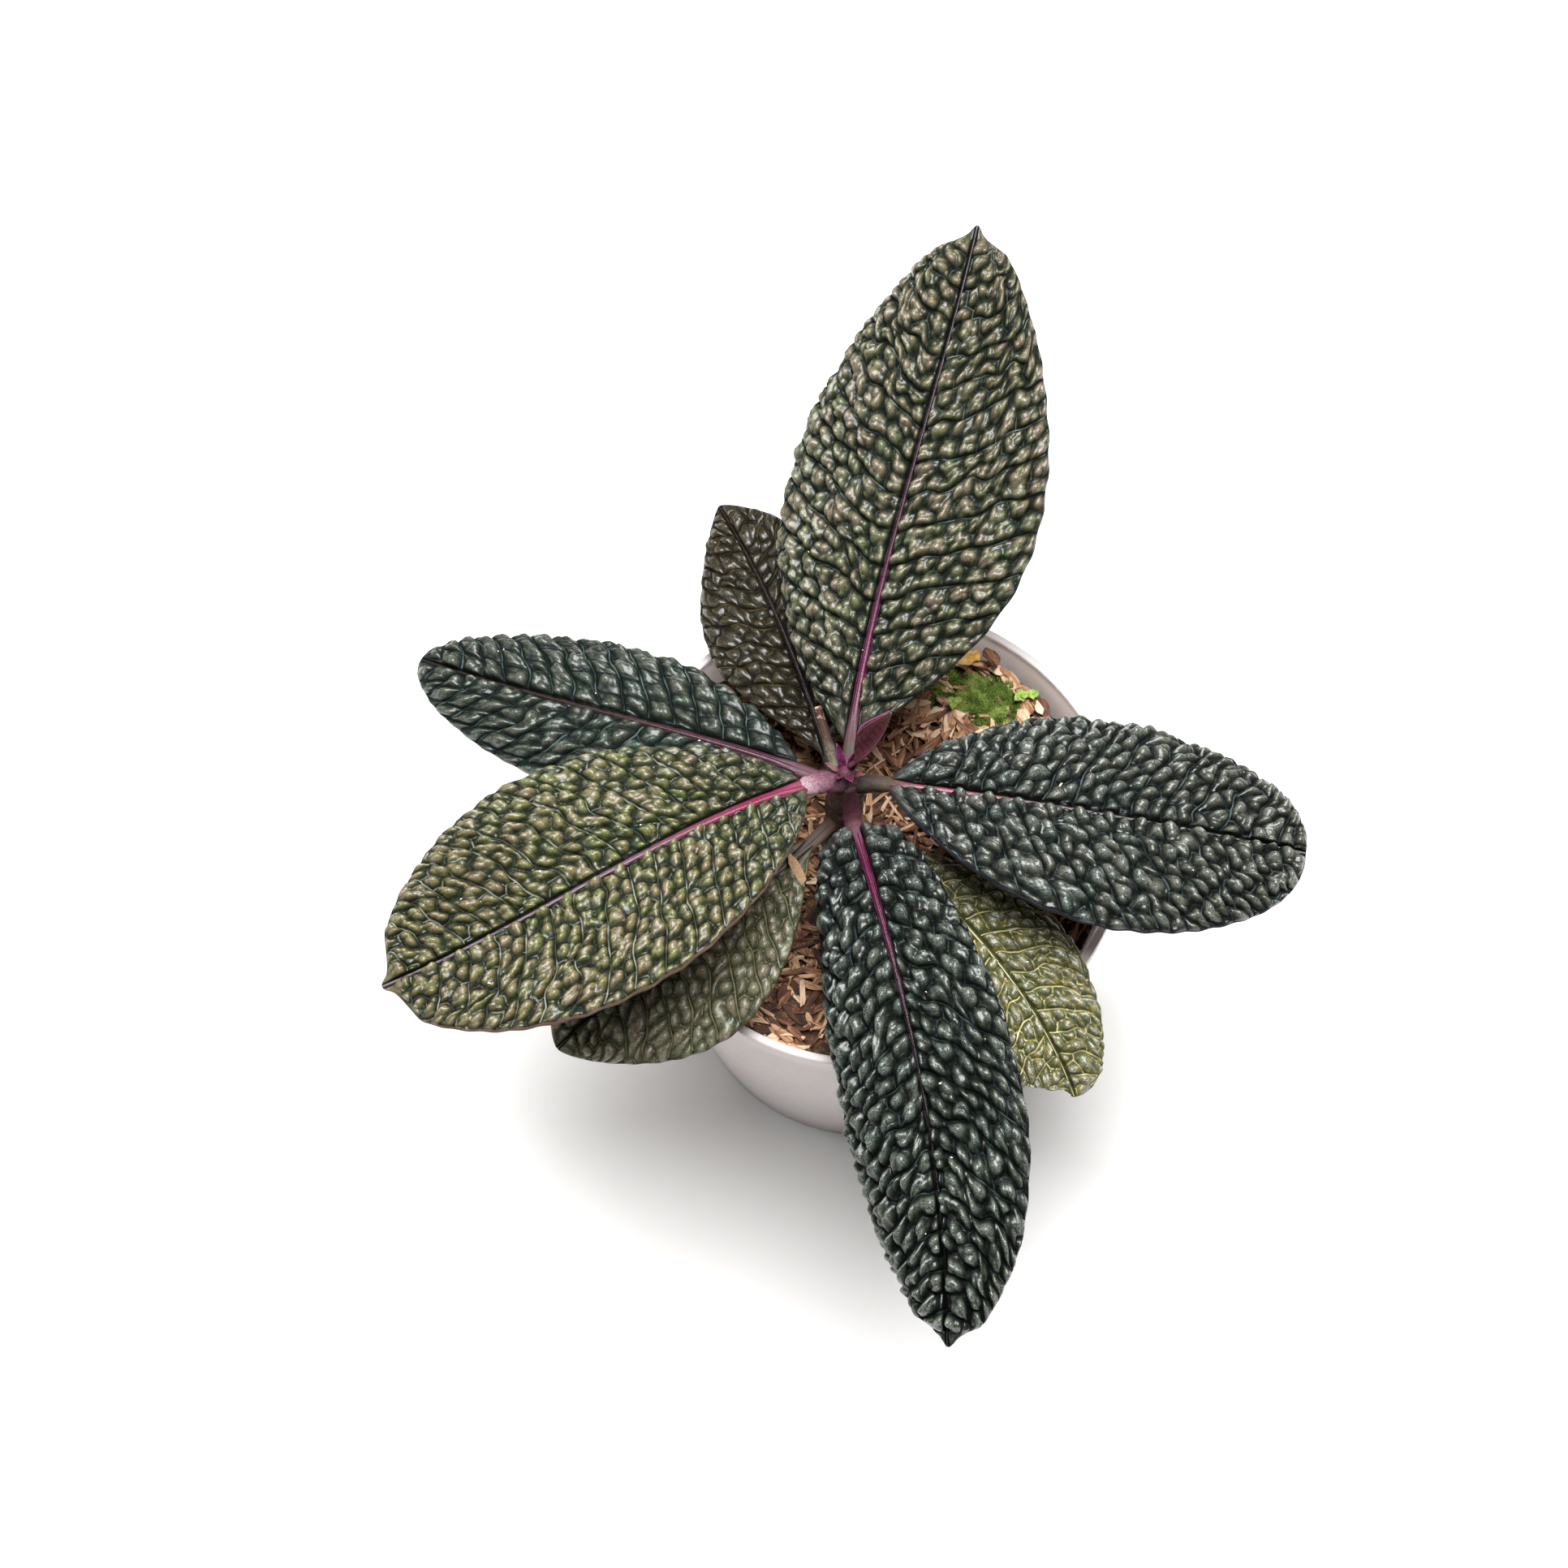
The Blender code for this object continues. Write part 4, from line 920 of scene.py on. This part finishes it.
looseBark = dict(
    chips=1550, length=(3, 11, 5.5), width=(0.9, 2.3), thickness=(0.5, 1.1),
    fibres=300, fibreLength=(7, 18), fibreWidth=(0.5, 1.0), fibreFlat=0.7,
    spread=56, stemClear=6.5, wallClear=0.3, seed=41,
    byWall=48, wallShorter=0.65, wallYaw=0.5,           # out there they are short and lie along the wall
    heaped=420, heapPlace=(27, 38), heapReach=(7, 22),  # the last ones heap up between moss and wall
    heapWider=1.3, heapPaler=0.14,
    highest=(99.5, 100.9),                              # how high one may lie, and a heaped one
    mossSwept=0.93, steepest=0.35, sunk=0.25, roll=0.25,
    tones=(0.18, 0.34, 0.44, 0.54, 0.63, 0.72, 0.84), toneSpread=0.06,
    alongFibres=(0.16, 1, 1), patternStep=7,            # drawn out along a chip, and another part for each
    chunkPlace=(29.8, 45.8, 98), chunkSize=(5.6, 3.8, 2.2), chunkYaw=2.2,
    stops=[(0.05, "2a1a12"), (0.3, "643e2a"), (0.5, "94684a"), (0.7, "c09672"), (1.0, "ead0b2")])


def dropChips():
    # each chip comes to rest on the highest spots under it, and the next one on top of it
    mix = looseBark
    rng = random.Random(mix["seed"])
    span = 60
    heights = np.array([[groundHeight(x, y) for y in range(-span, span + 1)] for x in range(-span, span + 1)])
    chips, grains, scattered = [], [], mix["chips"] + mix["fibres"]
    for number in range(scattered + mix["heaped"]):
        heaped = number >= scattered
        fibre = not heaped and number % (scattered // mix["fibres"]) == 1
        length = rng.uniform(*mix["fibreLength"]) if fibre else rng.triangular(*mix["length"])
        width = rng.uniform(*mix["fibreWidth"]) if fibre else rng.uniform(*mix["width"])
        thick = width * mix["fibreFlat"] if fibre else rng.uniform(*mix["thickness"])
        radius = mix["spread"] * math.sqrt(rng.random())
        turn, yaw = rng.uniform(0, math.tau), rng.uniform(0, math.tau)
        x, y = radius * math.cos(turn), radius * math.sin(turn)
        if heaped:
            far = rng.uniform(*mix["heapReach"])
            x, y = mix["heapPlace"][0] + far * math.cos(turn), mix["heapPlace"][1] + far * math.sin(turn)
            radius, turn = math.hypot(x, y), math.atan2(y, x)
            width *= mix["heapWider"]
        if radius > mix["byWall"]:
            yaw = turn + math.pi / 2 + rng.uniform(-mix["wallYaw"], mix["wallYaw"])
            length *= mix["wallShorter"]
        ends = [(x + s * length / 2 * math.cos(yaw), y + s * length / 2 * math.sin(yaw)) for s in (-1, 1)]
        tooFar = max(math.hypot(*end) for end in ends) > substrateEdge(substrate["level"]) - mix["wallClear"]
        fromStem = math.hypot(x - stem["axis"][0], y - stem["axis"][1])
        buriesMoss = mossiness(x, y) > 0.05 and rng.random() < mix["mossSwept"]
        chip, faces = splinter(rng, length, width, thick)
        tone = rng.choice(mix["tones"]) + rng.uniform(-mix["toneSpread"], mix["toneSpread"])
        tone += mix["heapPaler"] * heaped
        if tooFar or fromStem < mix["stemClear"] or buriesMoss:
            continue
        spots = []
        for u in np.linspace(-0.48, 0.48, 7):
            column, row = x + u * length * math.cos(yaw), y + u * length * math.sin(yaw)
            spots.append((u, int(round(column)) + span, int(round(row)) + span))
        found = [heights[column, row] for _, column, row in spots]
        low, high = max(found[:4]), max(found[3:])
        rise = math.atan2(high - low, length * 0.6)
        rise = max(-mix["steepest"], min(mix["steepest"], rise))
        middle = (low + high) / 2 - mix["sunk"]
        if middle + thick > mix["highest"][heaped]:
            continue
        for u, column, row in spots:
            level = middle + math.tan(rise) * u * length + 0.55 * thick
            for dx in (0, 1) if width > 1.6 else (0,):
                heights[column + dx, row] = max(heights[column + dx, row], level)
        roll = rng.uniform(-mix["roll"], mix["roll"])
        chips.append((placed(chip, (x, y, middle), yaw, -rise, roll), faces, tone))
        grains.append(chip * np.array(mix["alongFibres"]) + (0, mix["patternStep"] * len(grains), 0))
    chunk, faces = splinter(rng, *mix["chunkSize"])
    chips.append((placed(chunk, mix["chunkPlace"], mix["chunkYaw"], 0.1, 0.6), faces, 0.4))
    grains.append(chunk * np.array(mix["alongFibres"]))
    points, faces, tones = joined(chips)
    mesh = meshOf("barkChips", points, faces, smooth=False)
    attributeTone(mesh, tones)
    attributeGrain(mesh, np.concatenate(grains))
    addPiece("barkChips", mesh, barkMaterial("shreddedPineBark", mix["stops"], 0.7, 0.78), "bark_substrate")
    return heights, span


makeGround()
chipTops, chipSpan = dropChips()
print("substrate filled")


# Moss and seedlings on the mound

moss = dict(
    tufts=13500, height=(0.35, 0.85), width=(0.3, 0.6), seed=5,
    reach=13.5, oval=(1.1, 0.85), ragged=0.4,           # wider along X than along Y
    cushion=0.9, cushionSize=2.4, overGround=0.8,
    coveredFrom=1.6, coveredShare=0.7,                  # under chips this high, most tufts are left out
    colours=[(0.0, "40501e"), (0.3, "6a8434"), (0.6, "98ae54"), (0.85, "bcc476"), (1.0, "d6cea0")])


def chipTop(x, y):
    return chipTops[int(round(x)) + chipSpan, int(round(y)) + chipSpan]


def makeMoss():
    # each tuft is one slim three-sided cone, and a noise makes the patches' edges ragged
    rng = random.Random(moss["seed"])
    points, faces, tones = [], [], []
    while len(points) < 4 * moss["tufts"]:
        radius, turn = moss["reach"] * math.sqrt(rng.random()), rng.uniform(0, math.tau)
        x = substrate["mossPlace"][0] + radius * math.cos(turn) * moss["oval"][0]
        y = substrate["mossPlace"][1] + radius * math.sin(turn) * moss["oval"][1]
        patch = noise.noise(Vector((x, y, 5)) / 4.0) + 0.5 * noise.noise(Vector((x, y, 8)) / 1.6)
        if mossiness(x, y) + moss["ragged"] * patch < 0 or math.hypot(x, y) > substrateEdge(92) - 1:
            continue
        ground, chips = groundHeight(x, y), chipTop(x, y)
        if chips > ground + moss["coveredFrom"] and rng.random() < moss["coveredShare"]:
            continue
        cushion = moss["cushion"] * noise.noise(Vector((x, y, 2)) / moss["cushionSize"])
        foot = min(chips, ground + moss["overGround"]) + 0.2 + cushion
        height, width = rng.uniform(*moss["height"]), rng.uniform(*moss["width"])
        lean, spin = (rng.gauss(0, 0.35), rng.gauss(0, 0.35)), rng.uniform(0, math.tau)
        first = len(points)
        for k in range(3):
            points.append((x + width / 2 * math.cos(spin + k * math.tau / 3),
                           y + width / 2 * math.sin(spin + k * math.tau / 3), foot))
        points.append((x + lean[0] * height, y + lean[1] * height, foot + height))
        faces += [(first, first + 1, first + 3), (first + 1, first + 2, first + 3),
                  (first + 2, first, first + 3), (first + 2, first + 1, first)]
        tone = 0.45 + 0.36 * cushion + 0.35 * patch + rng.uniform(-0.2, 0.2)
        # painted shade: each tuft is darker at its foot, down between the shoots, and lighter at its tip
        tones += [tone - 0.25] * 3 + [tone + 0.12]
    mesh = meshOf("moss", points, faces, smooth=False)
    attributeTone(mesh, tones)
    # Cushion moss: matt, a fuzz of tiny shoots, with painted shade down between them.
    material, tree, shader = newMaterial("cushionMoss", {"IOR": 1.4, "Metallic": 0.0, "Roughness": 0.85})
    tone = addNode(tree, "Attribute", attribute_name="tone").outputs["Fac"]
    colour = addNode(tree, "ValToRGB", {0: tone}, stops=moss["colours"])
    fillSockets(shader, {"Base Color": colour.outputs[0]})
    addPiece("moss", mesh, material, "bark_substrate")


def leaflet(length, width, cup=0.15, thick=0.25, rows=6, ragged=0.0, pointed=0.8, seed=0):
    # a small closed blade along X from its foot, cupped, with an even thickness
    rng = random.Random(seed)
    upper, lower = [], []
    for k in range(rows + 1):
        u = k / rows
        bow = math.sin(math.pi * (0.04 + 0.93 * u)) ** pointed          # not quite a point at either end
        half = width / 2 * bow * (1 + ragged * rng.uniform(-1, 1))
        for s in (-1, -0.5, 0, 0.5, 1):
            lift = cup * width * (s * s - 0.5) + 0.25 * cup * length * math.sin(math.pi * u)
            upper.append((u * length, s * half, lift + thick / 2))
            lower.append((u * length, s * half, lift - thick / 2))
    count = len(upper)
    faces = []
    for k in range(rows):
        for s in range(4):
            a, b, c, d = k * 5 + s, (k + 1) * 5 + s, (k + 1) * 5 + s + 1, k * 5 + s + 1
            faces += [(a, b, c, d), (count + d, count + c, count + b, count + a)]
        for s, flip in ((0, True), (4, False)):
            a, b = k * 5 + s, (k + 1) * 5 + s
            side = (a, count + a, count + b, b)
            faces.append(side if flip else side[::-1])
    for k, flip in ((0, False), (rows, True)):
        for s in range(4):
            a, b = k * 5 + s, k * 5 + s + 1
            side = (a, b, count + b, count + a)
            faces.append(side[::-1] if flip else side)
    return np.array(upper + lower), faces


def softBlade(name, base, light, roughness=0.5, grainSize=0.8):
    # Thin young or dead leaf tissue: nearly matt, paler in patches.
    material, tree, shader = newMaterial(name, {"IOR": 1.42, "Metallic": 0.0, "Roughness": roughness,
                                                "Subsurface Weight": 0.1, "Subsurface Scale": 0.6 * mm})
    where = addNode(tree, "TexCoord").outputs["Object"]
    patch = addNode(tree, "TexNoise", {"Vector": where, "Scale": 1 / (grainSize * mm), "Detail": 3.0})
    shift = addNode(tree, "MapRange", {0: patch.outputs[0], 1: 0.35, 2: 0.65})
    colour = addNode(tree, "Mix", {0: shift.outputs[0], 6: base, 7: light}, data_type='RGBA')
    bump = addNode(tree, "Bump", {"Height": patch.outputs[0], "Strength": 0.4, "Distance": 0.2 * mm})
    fillSockets(shader, {"Base Color": colour.outputs[2], "Normal": bump.outputs[0]})
    return material


seedlings = (
    dict(name="seedlingNear", place=(20.3, 32.8), leaves=3, length=2.4, width=1.8, yaw=20, lift=0.4),
    dict(name="seedlingFar", place=(37.0, 36.6), leaves=5, length=2.1, width=1.9, yaw=75, lift=0.25),
    dict(name="seedlingFarther", place=(39.8, 37.4), leaves=4, length=1.9, width=1.8, yaw=10, lift=0.2))
fragment = dict(place=(24.6, 45.6), yaw=15, length=6.4, width=3.8, reach=2)


def makeSeedlings():
    green = softBlade("seedlingLeaf", "7c9a3e", "a6bc62", 0.55)
    for plant in seedlings:
        x, y = plant["place"]
        foot = chipTop(x, y) + 1.4
        parts = []
        for k in range(plant["leaves"]):
            blade, faces = leaflet(plant["length"] * (1 - 0.2 * (k % 2)), plant["width"], 0.3, 0.22, seed=k)
            yaw = math.radians(plant["yaw"] + 360 / plant["leaves"] * k)
            parts.append((placed(blade, (x, y, foot + 0.12 * k), yaw, -plant["lift"]), faces, 0))
        post, postFaces = turned([(0, foot - 2.5), (0.35, foot - 2.4), (0.3, foot + 0.2), (0, foot + 0.4)], 8)
        parts.append((np.array(post) + (x, y, 0), postFaces, 0))
        points, faces, _ = joined(parts)
        addPiece(plant["name"], meshOf(plant["name"], points, faces), green, "bark_substrate")
    blade, faces = leaflet(fragment["length"], fragment["width"], 0.25, 0.3, 8, 0.25, 0.5, seed=3)
    x, y = fragment["place"]
    near = range(-fragment["reach"], fragment["reach"] + 1)
    foot = max(chipTop(x + i, y + j) for i in near for j in near) + 0.1
    points = placed(blade, (x - fragment["length"] / 2, y, foot), math.radians(fragment["yaw"]), 0.0, 0.15)
    addPiece("yellowFragment", meshOf("yellowFragment", points, faces),
             softBlade("deadYellowLeaf", "c8913c", "e8c274", 0.6, 1.6), "bark_substrate")


makeMoss()
makeSeedlings()
print("moss and seedlings grown")


# Stem and crown

crown = dict(
    stemRadius=4.05, foot=62, shoulder=123, top=131.6, sides=48, uneven=0.09,
    rings=(93.5, 96, 100, 105, 108.8, 110.8, 113.5, 116.8, 120.8, 124.6), ringSize=(0.4, 0.45),
    waistAt=98, waist=(0.25, 4), redFrom=116,
    bark=[(0.0, "2a1c16"), (0.35, "4a382c"), (0.6, "6a5648"), (0.8, "5c2c40"), (1.0, "4a1430")])


def tube(line, radiiAcross, radiiUp, sides, uneven=0.0, seed=0):
    # a closed tube along a line, wider than high where asked, its skin made uneven by a noise
    line = np.asarray(line, float)
    along = np.gradient(line, axis=0)
    along /= np.linalg.norm(along, axis=1)[:, None]
    across = np.cross(along, (0, 0, 1))
    across /= np.linalg.norm(across, axis=1)[:, None]
    up = np.cross(across, along)
    points = []
    for k, centre in enumerate(line):
        for s in range(sides):
            turn = math.tau * s / sides
            spot = centre + across[k] * radiiAcross[k] * math.cos(turn) + up[k] * radiiUp[k] * math.sin(turn)
            rough = 1 + uneven * noise.noise(Vector(spot) / 1.3 + Vector((seed, 0, 0)))
            points.append(centre + (spot - centre) * rough)
    faces = [list(corners) for corners in ringQuads(len(line), sides)]
    faces += [list(range(sides))[::-1], list(range((len(line) - 1) * sides, len(line) * sides))]
    return np.array(points), faces


def scurfyBark(name, stops, size=1.2, roughness=0.8):
    # Young corky bark with loose brown scurf: matt, flaking, tinted by height or along its length.
    material, tree, shader = newMaterial(name, {"IOR": 1.45, "Metallic": 0.0, "Roughness": roughness})
    where = addNode(tree, "TexCoord").outputs["Object"]
    flakes = addNode(tree, "TexNoise", {"Vector": where, "Scale": 1 / (size * mm), "Detail": 5.0,
                                        "Roughness": 0.7})
    stainByTone(tree, shader, flakes.outputs[0], stops, 0.6, 0.3)
    return material


def makeStem():
    # the leaf rings stand out a little, a waist lies just above the bark, and the top is slim and red
    foot, shoulder, top = crown["foot"], crown["shoulder"], crown["top"]
    (ringHigh, ringWide), (waistDeep, waistWide) = crown["ringSize"], crown["waist"]
    profile = [(0, foot)]
    for z in np.concatenate([np.linspace(foot, 90, 6), np.linspace(91, top, 130)]):
        ring = max(math.exp(-((z - place) / ringWide) ** 2) for place in crown["rings"])
        waist = math.exp(-((z - crown["waistAt"]) / waistWide) ** 2)
        radius = crown["stemRadius"] + ringHigh * ring - waistDeep * waist
        taper = max(0, (z - shoulder) / (top - shoulder))
        profile.append((max(0.2, radius * (1 - 0.8 * taper ** 1.5)), z))
    profile.append((0, top + 0.1))
    points, faces = turned(profile, crown["sides"])
    shaped, tones = [], []
    for x, y, z in points:
        rough = 1 + crown["uneven"] * noise.noise(Vector((x, y, 0.6 * z)) / 1.6)
        tone = 0.35 + 0.3 * noise.noise(Vector((x, y, z)) / 3) + 0.5 * max(0, (z - crown["redFrom"]) / 14)
        shaped.append((stem["axis"][0] + x * rough, stem["axis"][1] + y * rough, z))
        tones.append(tone)
    mesh = meshOf("stem", shaped, faces)
    attributeTone(mesh, tones)
    addPiece("stem", mesh, scurfyBark("scurfyStemBark", crown["bark"]), "stem_bark", "stem")


# The widened foot of each stalk, where it clasps the stem: how far out it runs, its half
# width and half height out there, how ragged it is, and its colours from stem to leaf.
# One climbs the stem in a long sheath, and the others dip into it.
plainClasp = dict(out=3, wide=1.85, high=1.3, uneven=0.2, climb=-1.1)
claspings = {
    "leafTop": dict(out=3.5, wide=1.9, high=1.35, uneven=0.12, colours=("2a0c1a", "4a1830", "46302c")),
    "leafRight": dict(out=7, wide=2.0, high=1.6, uneven=0.14, colours=("1e140e", "32261a", "483824")),
    "leafFront": dict(out=8, wide=2.2, high=1.5, uneven=0.14, climb=10.5,
                      colours=("34141c", "48222a", "441c2a")),
    "leafLeft": dict(out=7.5, wide=2.5, high=1.55, uneven=0.14, colours=("3c1c26", "6c4452", "948086")),
    "leafBackLeft": dict(out=4, wide=1.9, uneven=0.15, colours=("2a101c", "46242e", "42242c")),
    "oldLeafBack": dict(colours=("2a1a14", "3c2a22", "3c2a22")),
    "oldLeafFrontLeft": dict(colours=("2a1a14", "4a3c30", "4a3c30")),
    "oldLeafFrontRight": dict(colours=("2a1a14", "5a4a30", "6a5a38")),
}
claspBuild = dict(
    intoStem=3.4, steps=22, sides=20, fade=2.6, lean=0.1,
    dipping=dict(bendAt=1.5, bend=1.3, spread=1.1),         # widens towards the stem
    climbing=dict(bendAt=4.5, bend=1.7, spread=-0.4))       # narrows towards it


def makeClaspings():
    inner, sides = claspBuild["intoStem"], claspBuild["sides"]
    for number, (name, own) in enumerate(claspings.items()):
        clasp = {**plainClasp, **own}
        form = claspBuild["climbing" if clasp["climb"] > 0 else "dipping"]
        along, middle, _, _ = midribLine(leaves[name])
        outward = middle[2] - middle[0]
        outward /= np.linalg.norm(outward)
        line, across, high = [], [], []
        for step in np.linspace(-inner, clasp["out"], claspBuild["steps"]):
            onMidrib = [np.interp(max(step, 0), along, middle[:, axis]) for axis in range(3)]
            toStem = max(0, (form["bendAt"] - step) / (inner + form["bendAt"])) ** form["bend"]
            raised = np.array((0, 0, clasp["climb"] * toStem - 0.15))
            leaning = max(0, clasp["climb"]) * claspBuild["lean"] * toStem
            line.append(np.array(onMidrib) + outward * (min(step, 0) + leaning) + raised)
            fade = min(1, (clasp["out"] - step) / claspBuild["fade"])
            across.append((clasp["wide"] + form["spread"] * toStem) * (0.5 + 0.5 * fade))
            high.append((clasp["high"] + form["spread"] * toStem) * (0.4 + 0.6 * fade))
        points, faces = tube(line, across, high, sides, clasp["uneven"], number * 7.3)
        mesh = meshOf(name + "Clasp", points, faces)
        attributeTone(mesh, np.repeat(np.linspace(0, 1, len(line)), sides))
        stops = list(zip((0.15, 0.55, 0.95), clasp["colours"]))
        addPiece(name + "Clasp", mesh, scurfyBark(name + "Scurf", stops, 0.5, 0.6), "stem_bark")


# pointed scales round the growing tip: where each starts, its yaw and rise, and its size
bracts = (
    dict(place=(-7.2, 1.6, 128.5), yaw=112, rise=58, length=7.5, width=1.8, colour=("4c1434", "74305c")),
    dict(place=(-5.2, 1.4, 129.4), yaw=70, rise=66, length=5.5, width=2.2, colour=("461030", "78305c")),
    dict(place=(-8.0, 0.4, 129.6), yaw=150, rise=22, length=4.0, width=1.3, colour=("4c2a2c", "76504a")),
    dict(place=(-6.2, -0.6, 129.8), yaw=-70, rise=45, length=4.2, width=2.0, colour=("3c0e28", "642848")),
    dict(place=(-4.9, -0.2, 129.4), yaw=-15, rise=38, length=3.6, width=1.4, colour=("48282c", "6c4640")),
    dict(place=(-7.6, -0.4, 129.6), yaw=240, rise=50, length=3.6, width=1.7, colour=("34101f", "5c2440")))


def makeBracts():
    for number, bract in enumerate(bracts):
        blade, faces = leaflet(bract["length"], bract["width"], 0.35, 0.35, 8, 0.08, 0.9, seed=20 + number)
        points = placed(blade, bract["place"], math.radians(bract["yaw"]), -math.radians(bract["rise"]))
        addPiece("bract%d" % (number + 1), meshOf("bract", points, faces),
                 softBlade("bractSkin%d" % (number + 1), *bract["colour"], 0.45), "young_leaf")


stub = dict(
    yaw=107, rise=17, bend=0.4, height=117.5, length=18, radii=(1.4, 0.8), inset=0.5, rings=40, sides=18,
    flare=(0.5, 0.08), sunken=0.12, ribs=5, ribHeight=0.1,
    colours=[(0.0, "5c6452"), (0.3, "565040"), (0.6, "38221a"), (0.93, "40261a"), (0.97, "a8846a"),
             (1.0, "b8987c")])


def makeStub():
    # the dried stalk keeps its solid's path; it is ribbed lengthwise and sunken in places
    yaw, rise = math.radians(stub["yaw"]), math.radians(stub["rise"])
    rings, sides = stub["rings"], stub["sides"]
    outward = np.array((math.cos(yaw), math.sin(yaw), 0))
    start = np.array((*stem["axis"], stub["height"])) + outward * (stem["nodeRadius"] - stub["inset"])
    line, radii = [], []
    for t in np.linspace(0, 1, rings):
        climb = rise * (1 - stub["bend"] * (1 - t))
        along = outward * math.cos(climb) + np.array((0, 0, math.sin(climb)))
        line.append(start + stub["length"] * t * along)
        flare = stub["flare"][0] * math.exp(-(t / stub["flare"][1]) ** 2)
        flare += stub["sunken"] * math.sin(19 * t) * (1 - t)
        radii.append((stub["radii"][0] + (stub["radii"][1] - stub["radii"][0]) * t) * (1 + flare))
    points, faces = tube(line, radii, radii, sides)
    centre = np.repeat(np.array(line), sides, 0)
    turns = np.tile(np.arange(sides), rings) * math.tau / sides
    ribs = 1 + stub["ribHeight"] * np.sin(turns * stub["ribs"])[:, None]
    mesh = meshOf("dryStalk", centre + (points - centre) * ribs, faces)
    attributeTone(mesh, np.repeat(np.linspace(0, 1, rings), sides))
    dried = scurfyBark("driedStalk", stub["colours"], 0.8, 0.7)
    addPiece("dryStalk", mesh, dried, "dry_petiole", "dry_petiole")


makeStem()
makeClaspings()
makeBracts()
makeStub()
print("crown finished")


# Loose bits on the leaves

looseBits = dict(
    specks=26, size=(0.2, 0.42), seed=12, lift=0.2,
    on=("leafTop", "leafRight", "leafFront", "leafLeft", "leafBackLeft", "oldLeafFrontRight"),
    chip=dict(on="oldLeafFrontLeft", place=(-17.7, -16.2), yaw=118, size=(7.4, 2.5, 0.9), tone=0.15),
    sliver=dict(on="leafRight", place=(42.5, 0.5), yaw=62, size=(6.0, 0.4, 0.3), tone=0.8),
    stops=[(0.1, "a07c58"), (0.4, "a8947a"), (0.7, "c0b4a2"), (1.0, "d8d2c8")])


def skinOver(pieceName):
    # looks straight down onto a piece: the spot that is met, and its normal
    mesh = bpy.data.objects[pieceName].data
    bm = bmesh.new()
    bm.from_mesh(mesh)
    tree = BVHTree.FromBMesh(bm)
    bm.free()

    def at(x, y):
        spot, normal, _, _ = tree.ray_cast(Vector((x, y, 400)) * mm, Vector((0, 0, -1)))
        return (None, None) if spot is None else (spot / mm, normal)
    return at


def makeLooseBits():
    rng = random.Random(looseBits["seed"])
    skins = {name: skinOver(name) for name in (*looseBits["on"], looseBits["chip"]["on"])}
    parts = []
    while len(parts) < looseBits["specks"]:
        name = rng.choice(looseBits["on"])
        _, middle, right, _ = midribLine(leaves[name])
        step = rng.randint(30, 140)
        spot = middle[step] + right[step] * rng.uniform(-0.6, 0.6) * leaves[name]["halfWidth"]
        found, _ = skins[name](spot[0], spot[1])
        if found is None:
            continue
        size = rng.uniform(*looseBits["size"])
        speck, faces = splinter(rng, size * rng.uniform(1, 2.2), size, size * 0.6)
        parts.append((placed(speck, found, rng.uniform(0, math.tau)), faces, 0.5 + 0.5 * rng.random()))
    for bit in (looseBits["chip"], looseBits["sliver"]):
        # laid on the leaf, tilted most of the way to its slope
        found, normal = skins[bit["on"]](*bit["place"])
        points, faces = splinter(rng, *bit["size"])
        yaw = math.radians(bit["yaw"])
        slope = math.atan2(normal.x * math.cos(yaw) + normal.y * math.sin(yaw), normal.z) * 0.6
        points = placed(points, found + Vector((0, 0, looseBits["lift"])), yaw, slope)
        parts.append((points, faces, bit["tone"]))
    points, faces, tones = joined(parts)
    mesh = meshOf("looseBits", points, faces, smooth=False)
    attributeTone(mesh, tones)
    attributeGrain(mesh, points)
    crumbs = barkMaterial("dustAndWoodCrumbs", looseBits["stops"], 0.6, 0.8)
    addPiece("looseBits", mesh, crumbs, "bark_substrate")


makeLooseBits()
print("crumbs laid")


# Camera, light and floor

studio = dict(
    cameraPlace=(-20.5, -251, 663), cameraTilt=25, lens=60, sensor=36,
    world="ffffff", worldStrength=0.07,
    keyPlace=(60, 250, 1500), keySize=1250, keyPower=64,
    fillPlace=(-900, 0, 700), fillSize=700, fillPower=3, lightsAim=110,
    floor="f4f3f1", floorSize=6000)


def addLight(name, place, size, power):
    light = bpy.data.lights.new(name, 'AREA')
    light.shape, light.size, light.energy = 'DISK', size * mm, power
    lamp = bpy.data.objects.new(name, light)
    lamp.location = Vector(place) * mm
    aim = Vector((0, 0, studio["lightsAim"])) * mm
    lamp.rotation_euler = (aim - lamp.location).to_track_quat('-Z', 'Y').to_euler()
    scene.collection.objects.link(lamp)


def makeStudio():
    camera = bpy.data.objects.new("Camera", bpy.data.cameras.new("Camera"))
    camera.data.lens, camera.data.sensor_width = studio["lens"], studio["sensor"]
    camera.data.clip_start = 0.01
    camera.location = Vector(studio["cameraPlace"]) * mm
    camera.rotation_euler = (math.radians(studio["cameraTilt"]), 0, 0)
    scene.collection.objects.link(camera)
    scene.camera = camera
    addLight("Key", studio["keyPlace"], studio["keySize"], studio["keyPower"])
    addLight("Fill", studio["fillPlace"], studio["fillSize"], studio["fillPower"])
    world = bpy.data.worlds.new("Studio")
    world.use_nodes = True
    fillSockets(world.node_tree.nodes["Background"],
                {"Color": studio["world"], "Strength": studio["worldStrength"]})
    scene.world = world
    scene.view_settings.view_transform = 'Standard'
    half = studio["floorSize"] / 2
    floorMesh = meshOf("Floor", [(-half, -half, 0), (half, -half, 0), (half, half, 0), (-half, half, 0)],
                       [(0, 1, 2, 3)], smooth=False)
    floorMesh.materials.append(newMaterial("paintedFloor", {"Base Color": studio["floor"],
                                                            "Roughness": 0.9})[0])
    floor = bpy.data.objects.new("Floor", floorMesh)
    scene.collection.objects.link(floor)


makeStudio()
print("studio ready")
